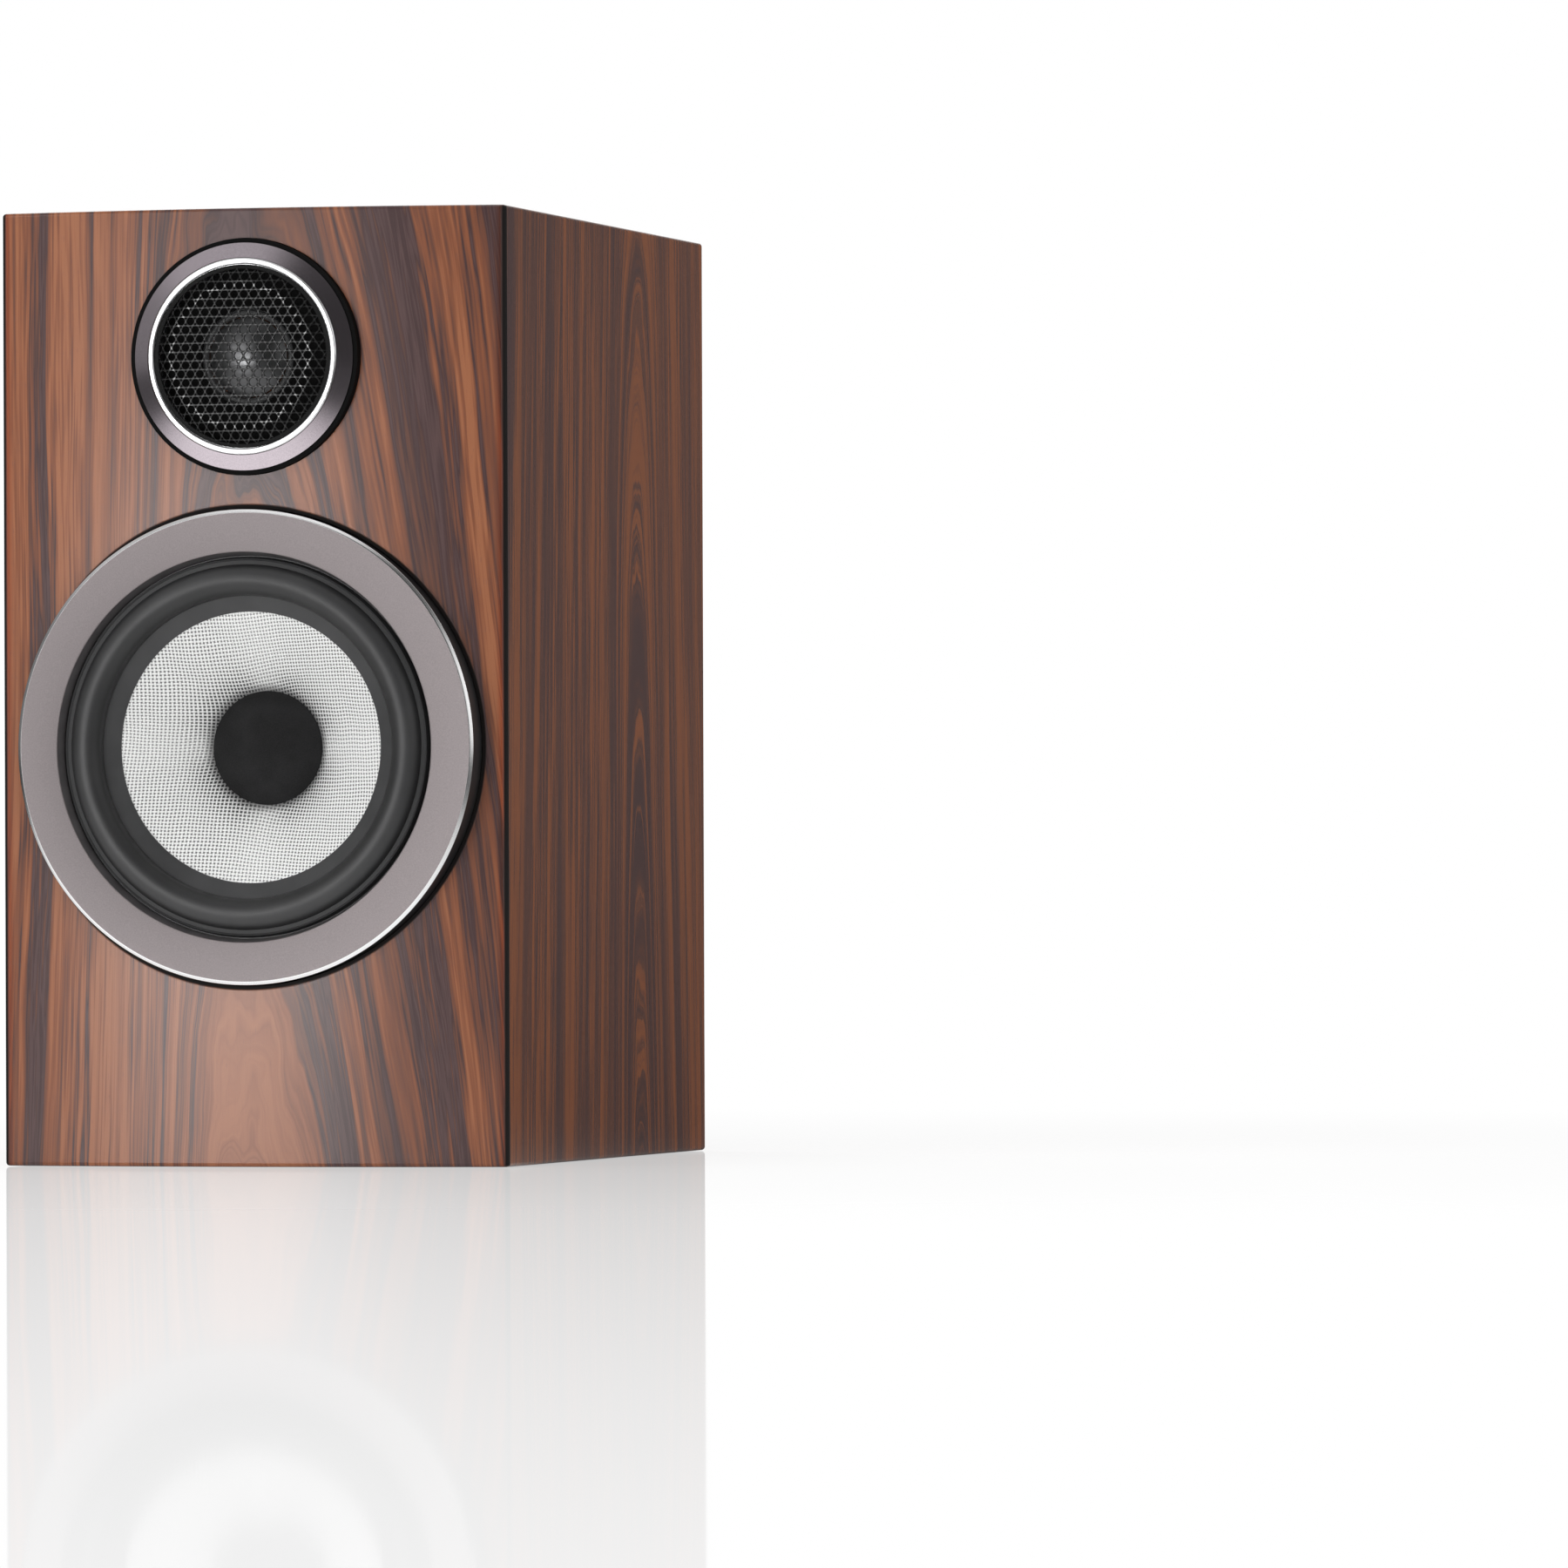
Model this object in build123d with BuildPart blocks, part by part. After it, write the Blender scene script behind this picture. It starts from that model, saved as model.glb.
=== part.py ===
"""Two-way bookshelf loudspeaker with a curved front, built piece by piece.

Frame: millimetres, +Z up, the front faces -Y, the origin is the centre of the cabinet's underside.
Depths inside a driver are counted backwards from the crest of the curved baffle.
"""

import os
from math import cos, radians, sin, sqrt

from build123d import *

os.makedirs("parts", exist_ok=True)

# --- Cabinet ---------------------------------------------------------------------------------
width = 165.0
height = 300.0
depth = 236.0  # from the front's vertical edges to the back
crown = 8.0  # how far the baffle's middle stands out past its vertical edges
wall = 15.0
rear_wall = 15.0
rear_recess = 1.0  # the rear panel lies this far inside the wrap
edge_round = 1.2
brace_wall = 12.0
brace_set_back = 98.0  # from the front's vertical edges to the brace
brace_rail = 17.0
wadding_thick = 12.0
wadding_corner = 8.0
soft_gap = 0.3

# --- Woofer ----------------------------------------------------------------------------------
driver_gap = 10.5  # between the two drivers' pods
pod_radius = 74.6
pod_draft = 0.3
pod_depth = 7.2  # the pod's seat in the baffle, behind the crest
pod_stand = 2.1  # the pod's rim in front of the crest
pod_clearance = 0.2
basket_recess = 1.8  # the basket's seat in the baffle, behind the pod's
basket_clearance = 0.6
flange_clearance = 0.3
trim_clearance = 0.15
trim_outer = 73.55
trim_inner = 61.0
trim_stand = 2.9  # the ring's outer edge in front of the crest
trim_rise = 0.8  # how much further its inner edge stands out
trim_sheet = 1.0
trim_bevel = 0.8
basket_radius = 67.5
basket_flange = 5.5
basket_wall = 2.0
basket_mouth = 56.0
basket_skirt = 4.0
spoke_count = 6
spoke_width = 9.0
spider_radius = 39.5
ledge_width = 4.5
ledge_stand = 7.0  # the spider's ledge in front of the motor
rear_ring = 3.0
gasket_thick = 1.0
rubber = 0.6
surround_edge = 1.0  # thickness of the surround's outer edge, clamped under the trim
roll_outer = 57.2
roll_inner = 47.5
roll_crest = 4.8  # the roll's crest in front of the baffle's crest
lip_radius = 59.0
lip_stand = 1.2
cone_edge = 47.8
cone_middle = 32.5
cone_edge_depth = 1.9
cone_middle_depth = 10.9
cone_neck_depth = 25.6
cone_thick = 0.7
glue = 0.1  # between the cone and what is glued on it
flange_end = 42.5  # where the surround's glued flange ends on the cone
plug_radius = 17.9
plug_rise = 4.5
plug_thick = 1.0
coil_inner = 14.6
former_thick = 0.4
former_length = 25.5
former_overhang = 2.0  # behind the winding
winding_thick = 0.9
winding_length = 12.0
coil_gap = 0.4
pole_gap = 0.5
motor_depth = 39.0  # the top plate's front face, behind the crest
top_plate_radius = 40.0
top_plate_thick = 5.0
magnet_radius = 43.0
magnet_thick = 17.0
magnet_bore = 24.0
yoke_radius = 41.0
yoke_thick = 6.0
vent_radius = 5.0

# --- Tweeter ---------------------------------------------------------------------------------
tweeter_from_top = 46.6
tweeter_pod_radius = 37.0
tweeter_pod_depth = 3.0
tweeter_pod_stand = 1.4
tweeter_trim_outer = 35.6
tweeter_trim_inner = 30.9
tweeter_trim_stand = 1.7
tweeter_trim_rise = 2.0
tweeter_seat_stand = 0.4  # the trim ring's seat in front of the crest
bright_outer = 30.8
bright_inner = 28.8
bright_stand = 4.1
mesh_thick = 0.5
mesh_stand = 3.3  # its flat rim in front of the crest
mesh_rise = 3.0  # from the rim to the shoulder
mesh_crown = 1.2  # from the shoulder to the middle
mesh_shoulder = 21.8
mesh_pitch = 3.18
mesh_bar = 0.5
mesh_rim = 1.2
mesh_clearance = 0.1
faceplate_radius = 33.2
faceplate_thick = 3.0
faceplate_depth = 1.5
flare_mouth = 24.5
dome_radius = 12.5
dome_rise = 4.8
dome_skin = 0.3
dome_base_depth = 3.6
dome_coil_thick = 0.6
dome_coil_length = 5.8
dome_coil_gap = 0.4
dome_roll_width = 2.2
dome_roll_rise = 0.9
dome_flange_width = 2.2
tweeter_motor_radius = 26.0
tweeter_plate_thick = 4.0
tweeter_magnet_thick = 9.0
tweeter_magnet_bore = 14.5
tweeter_yoke_thick = 4.0
chamber_length = 80.0
chamber_mouth = 20.0
chamber_tip = 12.0
chamber_wall = 2.0
chamber_flange = 24.0

# --- Screws that hold the drivers ------------------------------------------------------------
screw_radius = 1.5
screw_length = 12.0
screw_head_radius = 2.5
screw_head_height = 1.9
screw_socket = 1.1
screw_clearance = 0.1
head_clearance = 0.3
woofer_screw_circle = 64.6
woofer_screw_count = 4
tweeter_screw_circle = 30.2
tweeter_screw_count = 3

# --- Grille magnets behind the baffle --------------------------------------------------------
grille_magnet_radius = 4.0
grille_magnet_thick = 3.0
grille_magnet_side = 55.0
grille_magnet_edge = 28.0  # from the top and the bottom of the cabinet
grille_magnet_skin = 3.4  # baffle left in front of each magnet

# --- Port ------------------------------------------------------------------------------------
port_from_top = 75.0
port_throat = 22.0
port_wall = 2.2
port_flange = 40.0
port_flange_thick = 2.5
port_round = 13.0
port_spigot = 14.0
port_tube_length = 96.0
port_tube_wall = 2.0
port_lip = 3.0
port_clearance = 0.05

# --- Terminals -------------------------------------------------------------------------------
terminal_height = 60.0
plate_width = 110.0
plate_tall = 46.0
plate_thick = 2.5
plate_corner = 6.0
plate_rim = 1.5
plate_rim_width = 2.5
plate_screw_inset = 7.0
terminal_window_width = 88.0
terminal_window_tall = 26.0
post_pitch = 24.0
post_radius = 3.5
post_tail = 9.0
socket_radius = 2.0
socket_depth = 18.0
nut_across = 10.0
nut_thick = 3.0
collar_radius = 9.0
collar_thick = 3.0
strap_width = 13.0
strap_thick = 0.8
washer_radius = 6.8
washer_thick = 1.5
knob_radius = 8.0
knob_length = 17.0
knob_flutes = 12
flute_radius = 1.1
knob_round = 0.8
post_clearance = 0.08

# --- Crossover -------------------------------------------------------------------------------
board_width = 90.0
board_length = 86.0
board_thick = 1.6
board_middle = 54.0  # behind the cabinet's middle
standoff_height = 6.0
standoff_radius = 3.0
standoff_inset = 5.0
bobbin_wall = 1.5
bobbin_clearance = 0.2
coil_sizes = [(-21.0, 20.0, 20.0, 16.0), (24.0, -14.0, 14.0, 12.0)]  # x, y, radius, height
bobbin_core = 7.0
bobbin_bore = 4.0
capacitor_sizes = [(22.0, 26.0, 9.0, 34.0), (22.0, 7.0, 7.0, 28.0), (-22.0, -12.0, 7.0, 30.0)]
resistor_size = (26.0, 8.0, 8.0)
resistor_places = [(-22.0, -27.0), (22.0, -35.0)]

# --- Places that follow from the sizes above -------------------------------------------------
front = -depth / 2
crest = front - crown
back = depth / 2
rear_face = back - rear_recess
rear_inside = rear_face - rear_wall
baffle_depth = crown + wall  # the baffle's thickness at its middle

tweeter_height = height - tweeter_from_top
woofer_height = tweeter_height - tweeter_pod_radius - driver_gap - pod_radius
port_height = height - port_from_top

gasket_depth = pod_depth + basket_recess
flange_front = gasket_depth - gasket_thick - basket_flange
surround_front = flange_front - surround_edge
ledge_depth = motor_depth - ledge_stand
magnet_depth = motor_depth + top_plate_thick
yoke_depth = magnet_depth + magnet_thick
former_outer = coil_inner + former_thick
winding_outer = former_outer + winding_thick
winding_depth = motor_depth + (top_plate_thick - winding_length) / 2
former_end = winding_depth + winding_length + former_overhang

tweeter_plate_depth = faceplate_depth + faceplate_thick
tweeter_magnet_depth = tweeter_plate_depth + tweeter_plate_thick
tweeter_yoke_depth = tweeter_magnet_depth + tweeter_magnet_thick
chamber_depth = tweeter_yoke_depth + tweeter_yoke_thick

gasket_face = rear_face + gasket_thick
plate_face = gasket_face + plate_thick
collar_face = plate_face + collar_thick
strap_face = collar_face + strap_thick
washer_face = strap_face + washer_thick
knob_face = washer_face + knob_length
post_places = [-1.5 * post_pitch, -0.5 * post_pitch, 0.5 * post_pitch, 1.5 * post_pitch]


def save(piece, label):
    """Label a finished piece and write it out."""
    piece.part.label = label
    export_step(piece.part, f"parts/{label}.step")


def driver_plane(centre):
    """A plane through a driver's axis: local x is the radius, local y the depth behind the crest."""
    return Plane(origin=(0, crest, centre), x_dir=(1, 0, 0), z_dir=(0, 0, 1))


def turn(outline, plane, mode=Mode.ADD):
    """Revolve a closed outline of (radius, depth) points about the plane's own y axis."""
    with BuildSketch(plane) as profile:
        with BuildLine():
            Polyline(*outline, close=True)
        make_face()
    revolve(profile.sketch, axis=Axis(plane.origin, plane.y_dir), mode=mode)


def ring(inner, outer, start, end):
    """The outline of a plain ring or disc between two depths."""
    return [(inner, start), (outer, start), (outer, end), (inner, end)]


def facing(depth_behind_crest, centre):
    """A plane square to the drivers' axes, with local x to the right and local y up."""
    return Plane(origin=(0, crest + depth_behind_crest, centre), x_dir=(1, 0, 0), z_dir=(0, -1, 0))


def rear_plane(y, z):
    """A plane square to the rear panel, facing backwards, with local y up and local x to the left."""
    return Plane(origin=(0, y, z), x_dir=(-1, 0, 0), z_dir=(0, 1, 0))


def axis_plane(y, x, z):
    """A plane through an axis along +Y: local x is the radius, local y the distance backwards."""
    return Plane(origin=(x, y, z), x_dir=(1, 0, 0), z_dir=(0, 0, 1))


def screw_places(circle, count, turned):
    """Places of equally spaced screws, on a plane that faces along the axis."""
    return PolarLocations(circle, count, start_angle=turned)


# --- Cabinet ---------------------------------------------------------------------------------
with BuildPart() as envelope:
    with BuildSketch(Plane.XY):
        with BuildLine():
            ThreePointArc((-width / 2, front), (0, crest), (width / 2, front))
            Polyline((width / 2, front), (width / 2, back), (-width / 2, back), (-width / 2, front))
        make_face()
    extrude(amount=height)
    fillet(envelope.edges(), edge_round)


def mitred_side(side):
    """A side panel: mitred to the baffle at the front, and to the top and bottom panels."""
    outer = side * width / 2
    inner = side * (width / 2 - wall)
    with BuildPart() as panel:
        with BuildSketch(Plane.XY):
            with BuildLine():
                Polyline((outer, front), (outer, back), (inner, back), (inner, front + wall), close=True)
            make_face()
        extrude(amount=height)
        with BuildSketch(Plane.XZ.offset(-back)):
            with BuildLine():
                Polyline((outer, 0), (outer, height), (inner, height - wall), (inner, wall), close=True)
            make_face()
        extrude(amount=depth, mode=Mode.INTERSECT)
        add(envelope.part, mode=Mode.INTERSECT)
    return panel


def mitred_end(outer, inner):
    """The top or bottom panel: mitred to the baffle and to the side panels."""
    with BuildPart() as panel:
        with BuildSketch(Plane.YZ.offset(-width / 2)):
            with BuildLine():
                Polyline((front, outer), (back, outer), (back, inner), (front + wall, inner), close=True)
            make_face()
        extrude(amount=width)
        with BuildSketch(Plane.XZ.offset(-back)):
            with BuildLine():
                half = width / 2
                half_inside = half - wall
                Polyline((-half, outer), (half, outer), (half_inside, inner), (-half_inside, inner), close=True)
            make_face()
        extrude(amount=depth, mode=Mode.INTERSECT)
        add(envelope.part, mode=Mode.INTERSECT)
    return panel


save(mitred_side(-1), "left_panel")
save(mitred_side(1), "right_panel")
save(mitred_end(height, height - wall), "top_panel")
save(mitred_end(0, wall), "bottom_panel")

with BuildPart() as front_baffle:
    with BuildSketch(Plane.XY):
        with BuildLine():
            half = width / 2
            Polyline(
                (-half, crest),
                (half, crest),
                (half, front),
                (half - wall, front + wall),
                (wall - half, front + wall),
                (-half, front),
                close=True,
            )
        make_face()
    extrude(amount=height)
    with BuildSketch(Plane.YZ.offset(-width / 2)):
        with BuildLine():
            Polyline(
                (crest, 0),
                (front, 0),
                (front + wall, wall),
                (front + wall, height - wall),
                (front, height),
                (crest, height),
                close=True,
            )
        make_face()
    extrude(amount=width, mode=Mode.INTERSECT)
    add(envelope.part, mode=Mode.INTERSECT)
    # The woofer's stepped hole, with a bevel behind so that the cone can breathe.
    woofer_hole = basket_mouth + basket_wall + basket_clearance
    pod_hole = pod_radius + pod_clearance
    basket_hole = basket_radius + flange_clearance
    turn(ring(0, pod_hole, -1, pod_depth), driver_plane(woofer_height), Mode.SUBTRACT)
    turn(ring(0, basket_hole, 0, gasket_depth), driver_plane(woofer_height), Mode.SUBTRACT)
    bevel = (baffle_depth - gasket_depth) / 2
    turn(
        [
            (0, 0),
            (woofer_hole, 0),
            (woofer_hole, baffle_depth - bevel),
            (woofer_hole + bevel, baffle_depth),
            (woofer_hole + bevel, baffle_depth + 1),
            (0, baffle_depth + 1),
        ],
        driver_plane(woofer_height),
        Mode.SUBTRACT,
    )
    # The tweeter's stepped hole.
    small_pod_hole = tweeter_pod_radius + pod_clearance
    faceplate_hole = faceplate_radius + flange_clearance
    motor_hole = tweeter_motor_radius + 1
    turn(ring(0, small_pod_hole, -1, tweeter_pod_depth), driver_plane(tweeter_height), Mode.SUBTRACT)
    turn(ring(0, faceplate_hole, 0, tweeter_plate_depth), driver_plane(tweeter_height), Mode.SUBTRACT)
    turn(ring(0, motor_hole, 0, baffle_depth + 1), driver_plane(tweeter_height), Mode.SUBTRACT)
    # Pilot holes for the screws.
    for centre, seat, circle, count, turned in (
        (woofer_height, gasket_depth, woofer_screw_circle, woofer_screw_count, 45),
        (tweeter_height, tweeter_plate_depth, tweeter_screw_circle, tweeter_screw_count, 90),
    ):
        with BuildSketch(facing(seat, centre)) as pilots:
            with screw_places(circle, count, turned):
                Circle(screw_radius + screw_clearance)
        extrude(pilots.sketch, amount=-screw_length, mode=Mode.SUBTRACT)
    # Blind pockets for the grille's magnets, drilled from behind.
    magnet_rise = height / 2 - grille_magnet_edge
    edge_drop = crown * (grille_magnet_side / (width / 2)) ** 2
    magnet_front = edge_drop + grille_magnet_skin
    with BuildSketch(facing(magnet_front, height / 2)) as pockets:
        with GridLocations(2 * grille_magnet_side, 2 * magnet_rise, 2, 2):
            Circle(grille_magnet_radius + 0.1)
    extrude(pockets.sketch, amount=magnet_front - baffle_depth, mode=Mode.SUBTRACT)
save(front_baffle, "front_baffle")

with BuildPart() as grille_magnets:
    with BuildSketch(facing(magnet_front, height / 2)):
        with GridLocations(2 * grille_magnet_side, 2 * magnet_rise, 2, 2):
            Circle(grille_magnet_radius)
    extrude(amount=-grille_magnet_thick)
save(grille_magnets, "grille_magnets")

plate_hole_x = plate_width / 2 - plate_screw_inset
plate_hole_z = plate_tall / 2 - plate_screw_inset
with BuildPart() as rear_panel:
    with BuildSketch(Plane.XZ.offset(-rear_face)):
        with Locations((0, height / 2)):
            Rectangle(width - 2 * wall, height - 2 * wall)
        with Locations((0, port_height)):
            Circle(port_throat + port_round + 0.5, mode=Mode.SUBTRACT)
        with Locations((0, terminal_height)):
            RectangleRounded(terminal_window_width, terminal_window_tall, plate_corner, mode=Mode.SUBTRACT)
            with GridLocations(2 * plate_hole_x, 2 * plate_hole_z, 2, 2):
                Circle(screw_radius + screw_clearance, mode=Mode.SUBTRACT)
    extrude(amount=rear_wall)
save(rear_panel, "rear_panel")

brace_front = front + brace_set_back
with BuildPart() as window_brace:
    with BuildSketch(Plane.XZ.offset(-brace_front)):
        with Locations((0, height / 2)):
            Rectangle(width - 2 * wall, height - 2 * wall)
            window_tall = (height - 2 * wall - 3 * brace_rail) / 2
            with GridLocations(1, window_tall + brace_rail, 1, 2):
                RectangleRounded(
                    width - 2 * wall - 2 * brace_rail, window_tall, brace_rail, mode=Mode.SUBTRACT
                )
    extrude(amount=-brace_wall)
save(window_brace, "window_brace")

wadding_length = rear_inside - brace_front - brace_wall - 2 * soft_gap
wadding_tall = height - 2 * wall - 2 * soft_gap
with BuildPart() as damping_wadding:
    for side in (-1, 1):
        wadding_x = side * (width / 2 - wall - soft_gap - wadding_thick / 2)
        wadding_y = (brace_front + brace_wall + rear_inside) / 2
        with BuildSketch(Plane.YZ.offset(wadding_x - wadding_thick / 2)):
            with Locations((wadding_y, height / 2)):
                RectangleRounded(wadding_length, wadding_tall, wadding_corner)
        extrude(amount=wadding_thick)
save(damping_wadding, "damping_wadding")

# --- Woofer ----------------------------------------------------------------------------------
woofer = driver_plane(woofer_height)

with BuildPart() as woofer_pod:
    pod_front = -pod_stand
    ring_seat = trim_sheet - trim_stand
    pod_inner = trim_inner + trim_sheet + pod_clearance
    trim_recess = trim_outer + trim_clearance
    turn(
        [
            (pod_inner, ring_seat),
            (trim_recess, ring_seat),
            (trim_recess, pod_front),
            (pod_radius - pod_draft, pod_front),
            (pod_radius, pod_depth),
            (basket_hole, pod_depth),
            (basket_hole, flange_front),
            (pod_inner, flange_front),
        ],
        woofer,
    )
    rim = woofer_pod.edges().filter_by(GeomType.CIRCLE).group_by(Axis.Y)[0]
    chamfer(rim.sort_by(SortBy.RADIUS)[-1], 0.25)
    with BuildSketch(facing(flange_front - screw_head_height - head_clearance, woofer_height)) as pockets:
        with screw_places(woofer_screw_circle, woofer_screw_count, 45):
            Circle(screw_head_radius + head_clearance)
    extrude(pockets.sketch, amount=-(screw_head_height + head_clearance), mode=Mode.SUBTRACT)
save(woofer_pod, "woofer_pod")

with BuildPart() as woofer_trim_ring:
    skirt_end = surround_front - flange_clearance
    turn(
        [
            (trim_inner, -trim_stand - trim_rise),
            (trim_outer - trim_bevel, -trim_stand),
            (trim_outer, -trim_stand + trim_bevel),
            (trim_outer, ring_seat),
            (trim_inner + trim_sheet, ring_seat),
            (trim_inner + trim_sheet, skirt_end),
            (trim_inner, skirt_end),
        ],
        woofer,
    )
save(woofer_trim_ring, "woofer_trim_ring")

with BuildPart() as woofer_gasket:
    turn(ring(woofer_hole, basket_radius, gasket_depth - gasket_thick, gasket_depth), woofer)
    with BuildSketch(facing(gasket_depth, woofer_height)) as gasket_holes:
        with screw_places(woofer_screw_circle, woofer_screw_count, 45):
            Circle(screw_radius + screw_clearance)
    extrude(gasket_holes.sketch, amount=gasket_thick, mode=Mode.SUBTRACT)
save(woofer_gasket, "woofer_gasket")

with BuildPart() as woofer_basket:
    flange_back = flange_front + basket_flange
    skirt_back = flange_back + basket_skirt
    ledge_outer = spider_radius + basket_wall
    turn(
        [
            (basket_mouth, flange_front),
            (basket_radius, flange_front),
            (basket_radius, flange_back),
            (basket_mouth + basket_wall, flange_back),
            (basket_mouth + basket_wall, skirt_back),
            (ledge_outer + basket_wall, ledge_depth + ledge_width),
            (ledge_outer, motor_depth),
            (magnet_bore, motor_depth),
            (magnet_bore, motor_depth - rear_ring),
            (spider_radius - ledge_width, motor_depth - rear_ring),
            (spider_radius - ledge_width, ledge_depth),
            (ledge_outer - 0.8, ledge_depth),
            (basket_mouth, skirt_back - basket_wall),
        ],
        woofer,
    )
    # Windows between the spokes: what is left of the cone-shaped wall carries the motor.
    window_outer = basket_mouth + basket_wall + 1
    window_inner = ledge_outer - 0.4
    with BuildSketch(facing(skirt_back, woofer_height)) as windows:
        Circle(window_outer)
        Circle(window_inner, mode=Mode.SUBTRACT)
        with PolarLocations(0, spoke_count, start_angle=30):
            with Locations((window_outer / 2, 0)):
                Rectangle(window_outer, spoke_width, mode=Mode.SUBTRACT)
    extrude(windows.sketch, amount=-(ledge_depth - skirt_back), mode=Mode.SUBTRACT)
    with BuildSketch(facing(flange_front, woofer_height)) as flange_holes:
        with screw_places(woofer_screw_circle, woofer_screw_count, 45):
            Circle(screw_radius + screw_clearance)
    extrude(flange_holes.sketch, amount=-basket_flange, mode=Mode.SUBTRACT)
save(woofer_basket, "woofer_basket")

with BuildPart() as driver_screws:
    for centre, seat, circle, count, turned in (
        (woofer_height, flange_front, woofer_screw_circle, woofer_screw_count, 45),
        (tweeter_height, faceplate_depth + screw_head_height, tweeter_screw_circle, tweeter_screw_count, 90),
    ):
        with BuildSketch(facing(seat, centre)) as heads:
            with screw_places(circle, count, turned):
                Circle(screw_head_radius)
        extrude(heads.sketch, amount=screw_head_height)
        with BuildSketch(facing(seat, centre)) as shanks:
            with screw_places(circle, count, turned):
                Circle(screw_radius)
        extrude(shanks.sketch, amount=-screw_length)
        with BuildSketch(facing(seat - screw_head_height, centre)) as sockets:
            with screw_places(circle, count, turned):
                RegularPolygon(screw_socket, 6)
        extrude(sockets.sketch, amount=-screw_head_height / 2, mode=Mode.SUBTRACT)
save(driver_screws, "driver_screws")

# The cone's front is one arc from the edge to the neck, and what is glued on it follows that arc.
cone_arc = ThreePointArc(
    (cone_edge, cone_edge_depth), (cone_middle, cone_middle_depth), (former_outer, cone_neck_depth)
)


def cone_depth(radius, lift=0.0):
    """Depth of the cone's front at a radius, lifted off along the axis."""
    middle = cone_arc.arc_center
    reach = sqrt(cone_arc.radius**2 - (radius - middle.X) ** 2)
    side = 1 if cone_middle_depth > middle.Y else -1
    return middle.Y + side * reach - lift


with BuildPart() as woofer_cone:
    with BuildSketch(woofer) as cone_profile:
        with BuildLine():
            neck = former_outer + 0.1
            ThreePointArc(
                (cone_edge, cone_depth(cone_edge)),
                (cone_middle, cone_depth(cone_middle)),
                (neck, cone_depth(neck)),
            )
            Line((neck, cone_depth(neck)), (neck, cone_depth(neck) + cone_thick))
            ThreePointArc(
                (neck, cone_depth(neck) + cone_thick),
                (cone_middle, cone_depth(cone_middle) + cone_thick),
                (cone_edge, cone_depth(cone_edge) + cone_thick),
            )
            Line((cone_edge, cone_depth(cone_edge) + cone_thick), (cone_edge, cone_depth(cone_edge)))
        make_face()
    revolve(cone_profile.sketch, axis=Axis(woofer.origin, woofer.y_dir))
save(woofer_cone, "woofer_cone")

with BuildPart() as woofer_plug:
    plug_edge = cone_depth(plug_radius, 0.2)
    with BuildSketch(woofer) as plug_profile:
        with BuildLine():
            rim_bottom = cone_depth(plug_radius - plug_thick / 2, 0.2)
            plug_bend = (plug_radius**2 + plug_rise**2) / (2 * plug_rise)
            RadiusArc((plug_radius, plug_edge), (0, plug_edge - plug_rise), plug_bend)
            Line((0, plug_edge - plug_rise), (0, plug_edge - plug_rise + plug_thick))
            ThreePointArc(
                (0, plug_edge - plug_rise + plug_thick),
                (plug_radius / 2, plug_edge - plug_rise * 0.75 + plug_thick),
                (plug_radius - plug_thick / 2, rim_bottom),
            )
            Line((plug_radius - plug_thick / 2, rim_bottom), (plug_radius, plug_edge))
        make_face()
    revolve(plug_profile.sketch, axis=Axis(woofer.origin, woofer.y_dir))
save(woofer_plug, "woofer_plug")

with BuildPart() as woofer_surround:
    with BuildSketch(woofer) as surround_profile:
        with BuildLine():
            roll = (roll_outer - roll_inner) / 2
            roll_middle = roll_inner + roll
            outer_depth = 1 - lip_stand - 0.8
            glue_middle = (roll_inner + flange_end) / 2
            inner_depth = cone_depth(roll_inner, rubber)
            under_depth = cone_depth(cone_edge, 2 * glue)
            flange_edge = trim_inner + 0.6
            Polyline(
                (roll_outer, outer_depth),
                (lip_radius - 0.6, outer_depth + 0.3),
                (lip_radius, -lip_stand),
                (lip_radius + 0.6, surround_front),
                (flange_edge, surround_front),
                (flange_edge, flange_front),
                (roll_outer + 0.3, flange_front),
                (roll_outer - rubber, outer_depth + 0.3),
            )
            ThreePointArc(
                (roll_outer - rubber, outer_depth + 0.3),
                (roll_middle, rubber - roll_crest),
                (roll_inner + rubber, under_depth),
            )
            Line((roll_inner + rubber, under_depth), (roll_inner, cone_depth(roll_inner, glue)))
            ThreePointArc(
                (roll_inner, cone_depth(roll_inner, glue)),
                (glue_middle, cone_depth(glue_middle, glue)),
                (flange_end, cone_depth(flange_end, glue)),
            )
            Line((flange_end, cone_depth(flange_end, glue)), (flange_end, cone_depth(flange_end, rubber)))
            ThreePointArc(
                (flange_end, cone_depth(flange_end, rubber)),
                (glue_middle, cone_depth(glue_middle, rubber)),
                (roll_inner, inner_depth),
            )
            ThreePointArc((roll_inner, inner_depth), (roll_middle, -roll_crest), (roll_outer, outer_depth))
        make_face()
    revolve(surround_profile.sketch, axis=Axis(woofer.origin, woofer.y_dir))
save(woofer_surround, "woofer_surround")

with BuildPart() as voice_coil_former:
    former_start = former_end - former_length
    turn(ring(coil_inner, former_outer, former_start, former_end), woofer)
save(voice_coil_former, "voice_coil_former")

with BuildPart() as voice_coil_winding:
    turn(ring(former_outer, winding_outer, winding_depth, winding_depth + winding_length), woofer)
save(voice_coil_winding, "voice_coil_winding")

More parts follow.
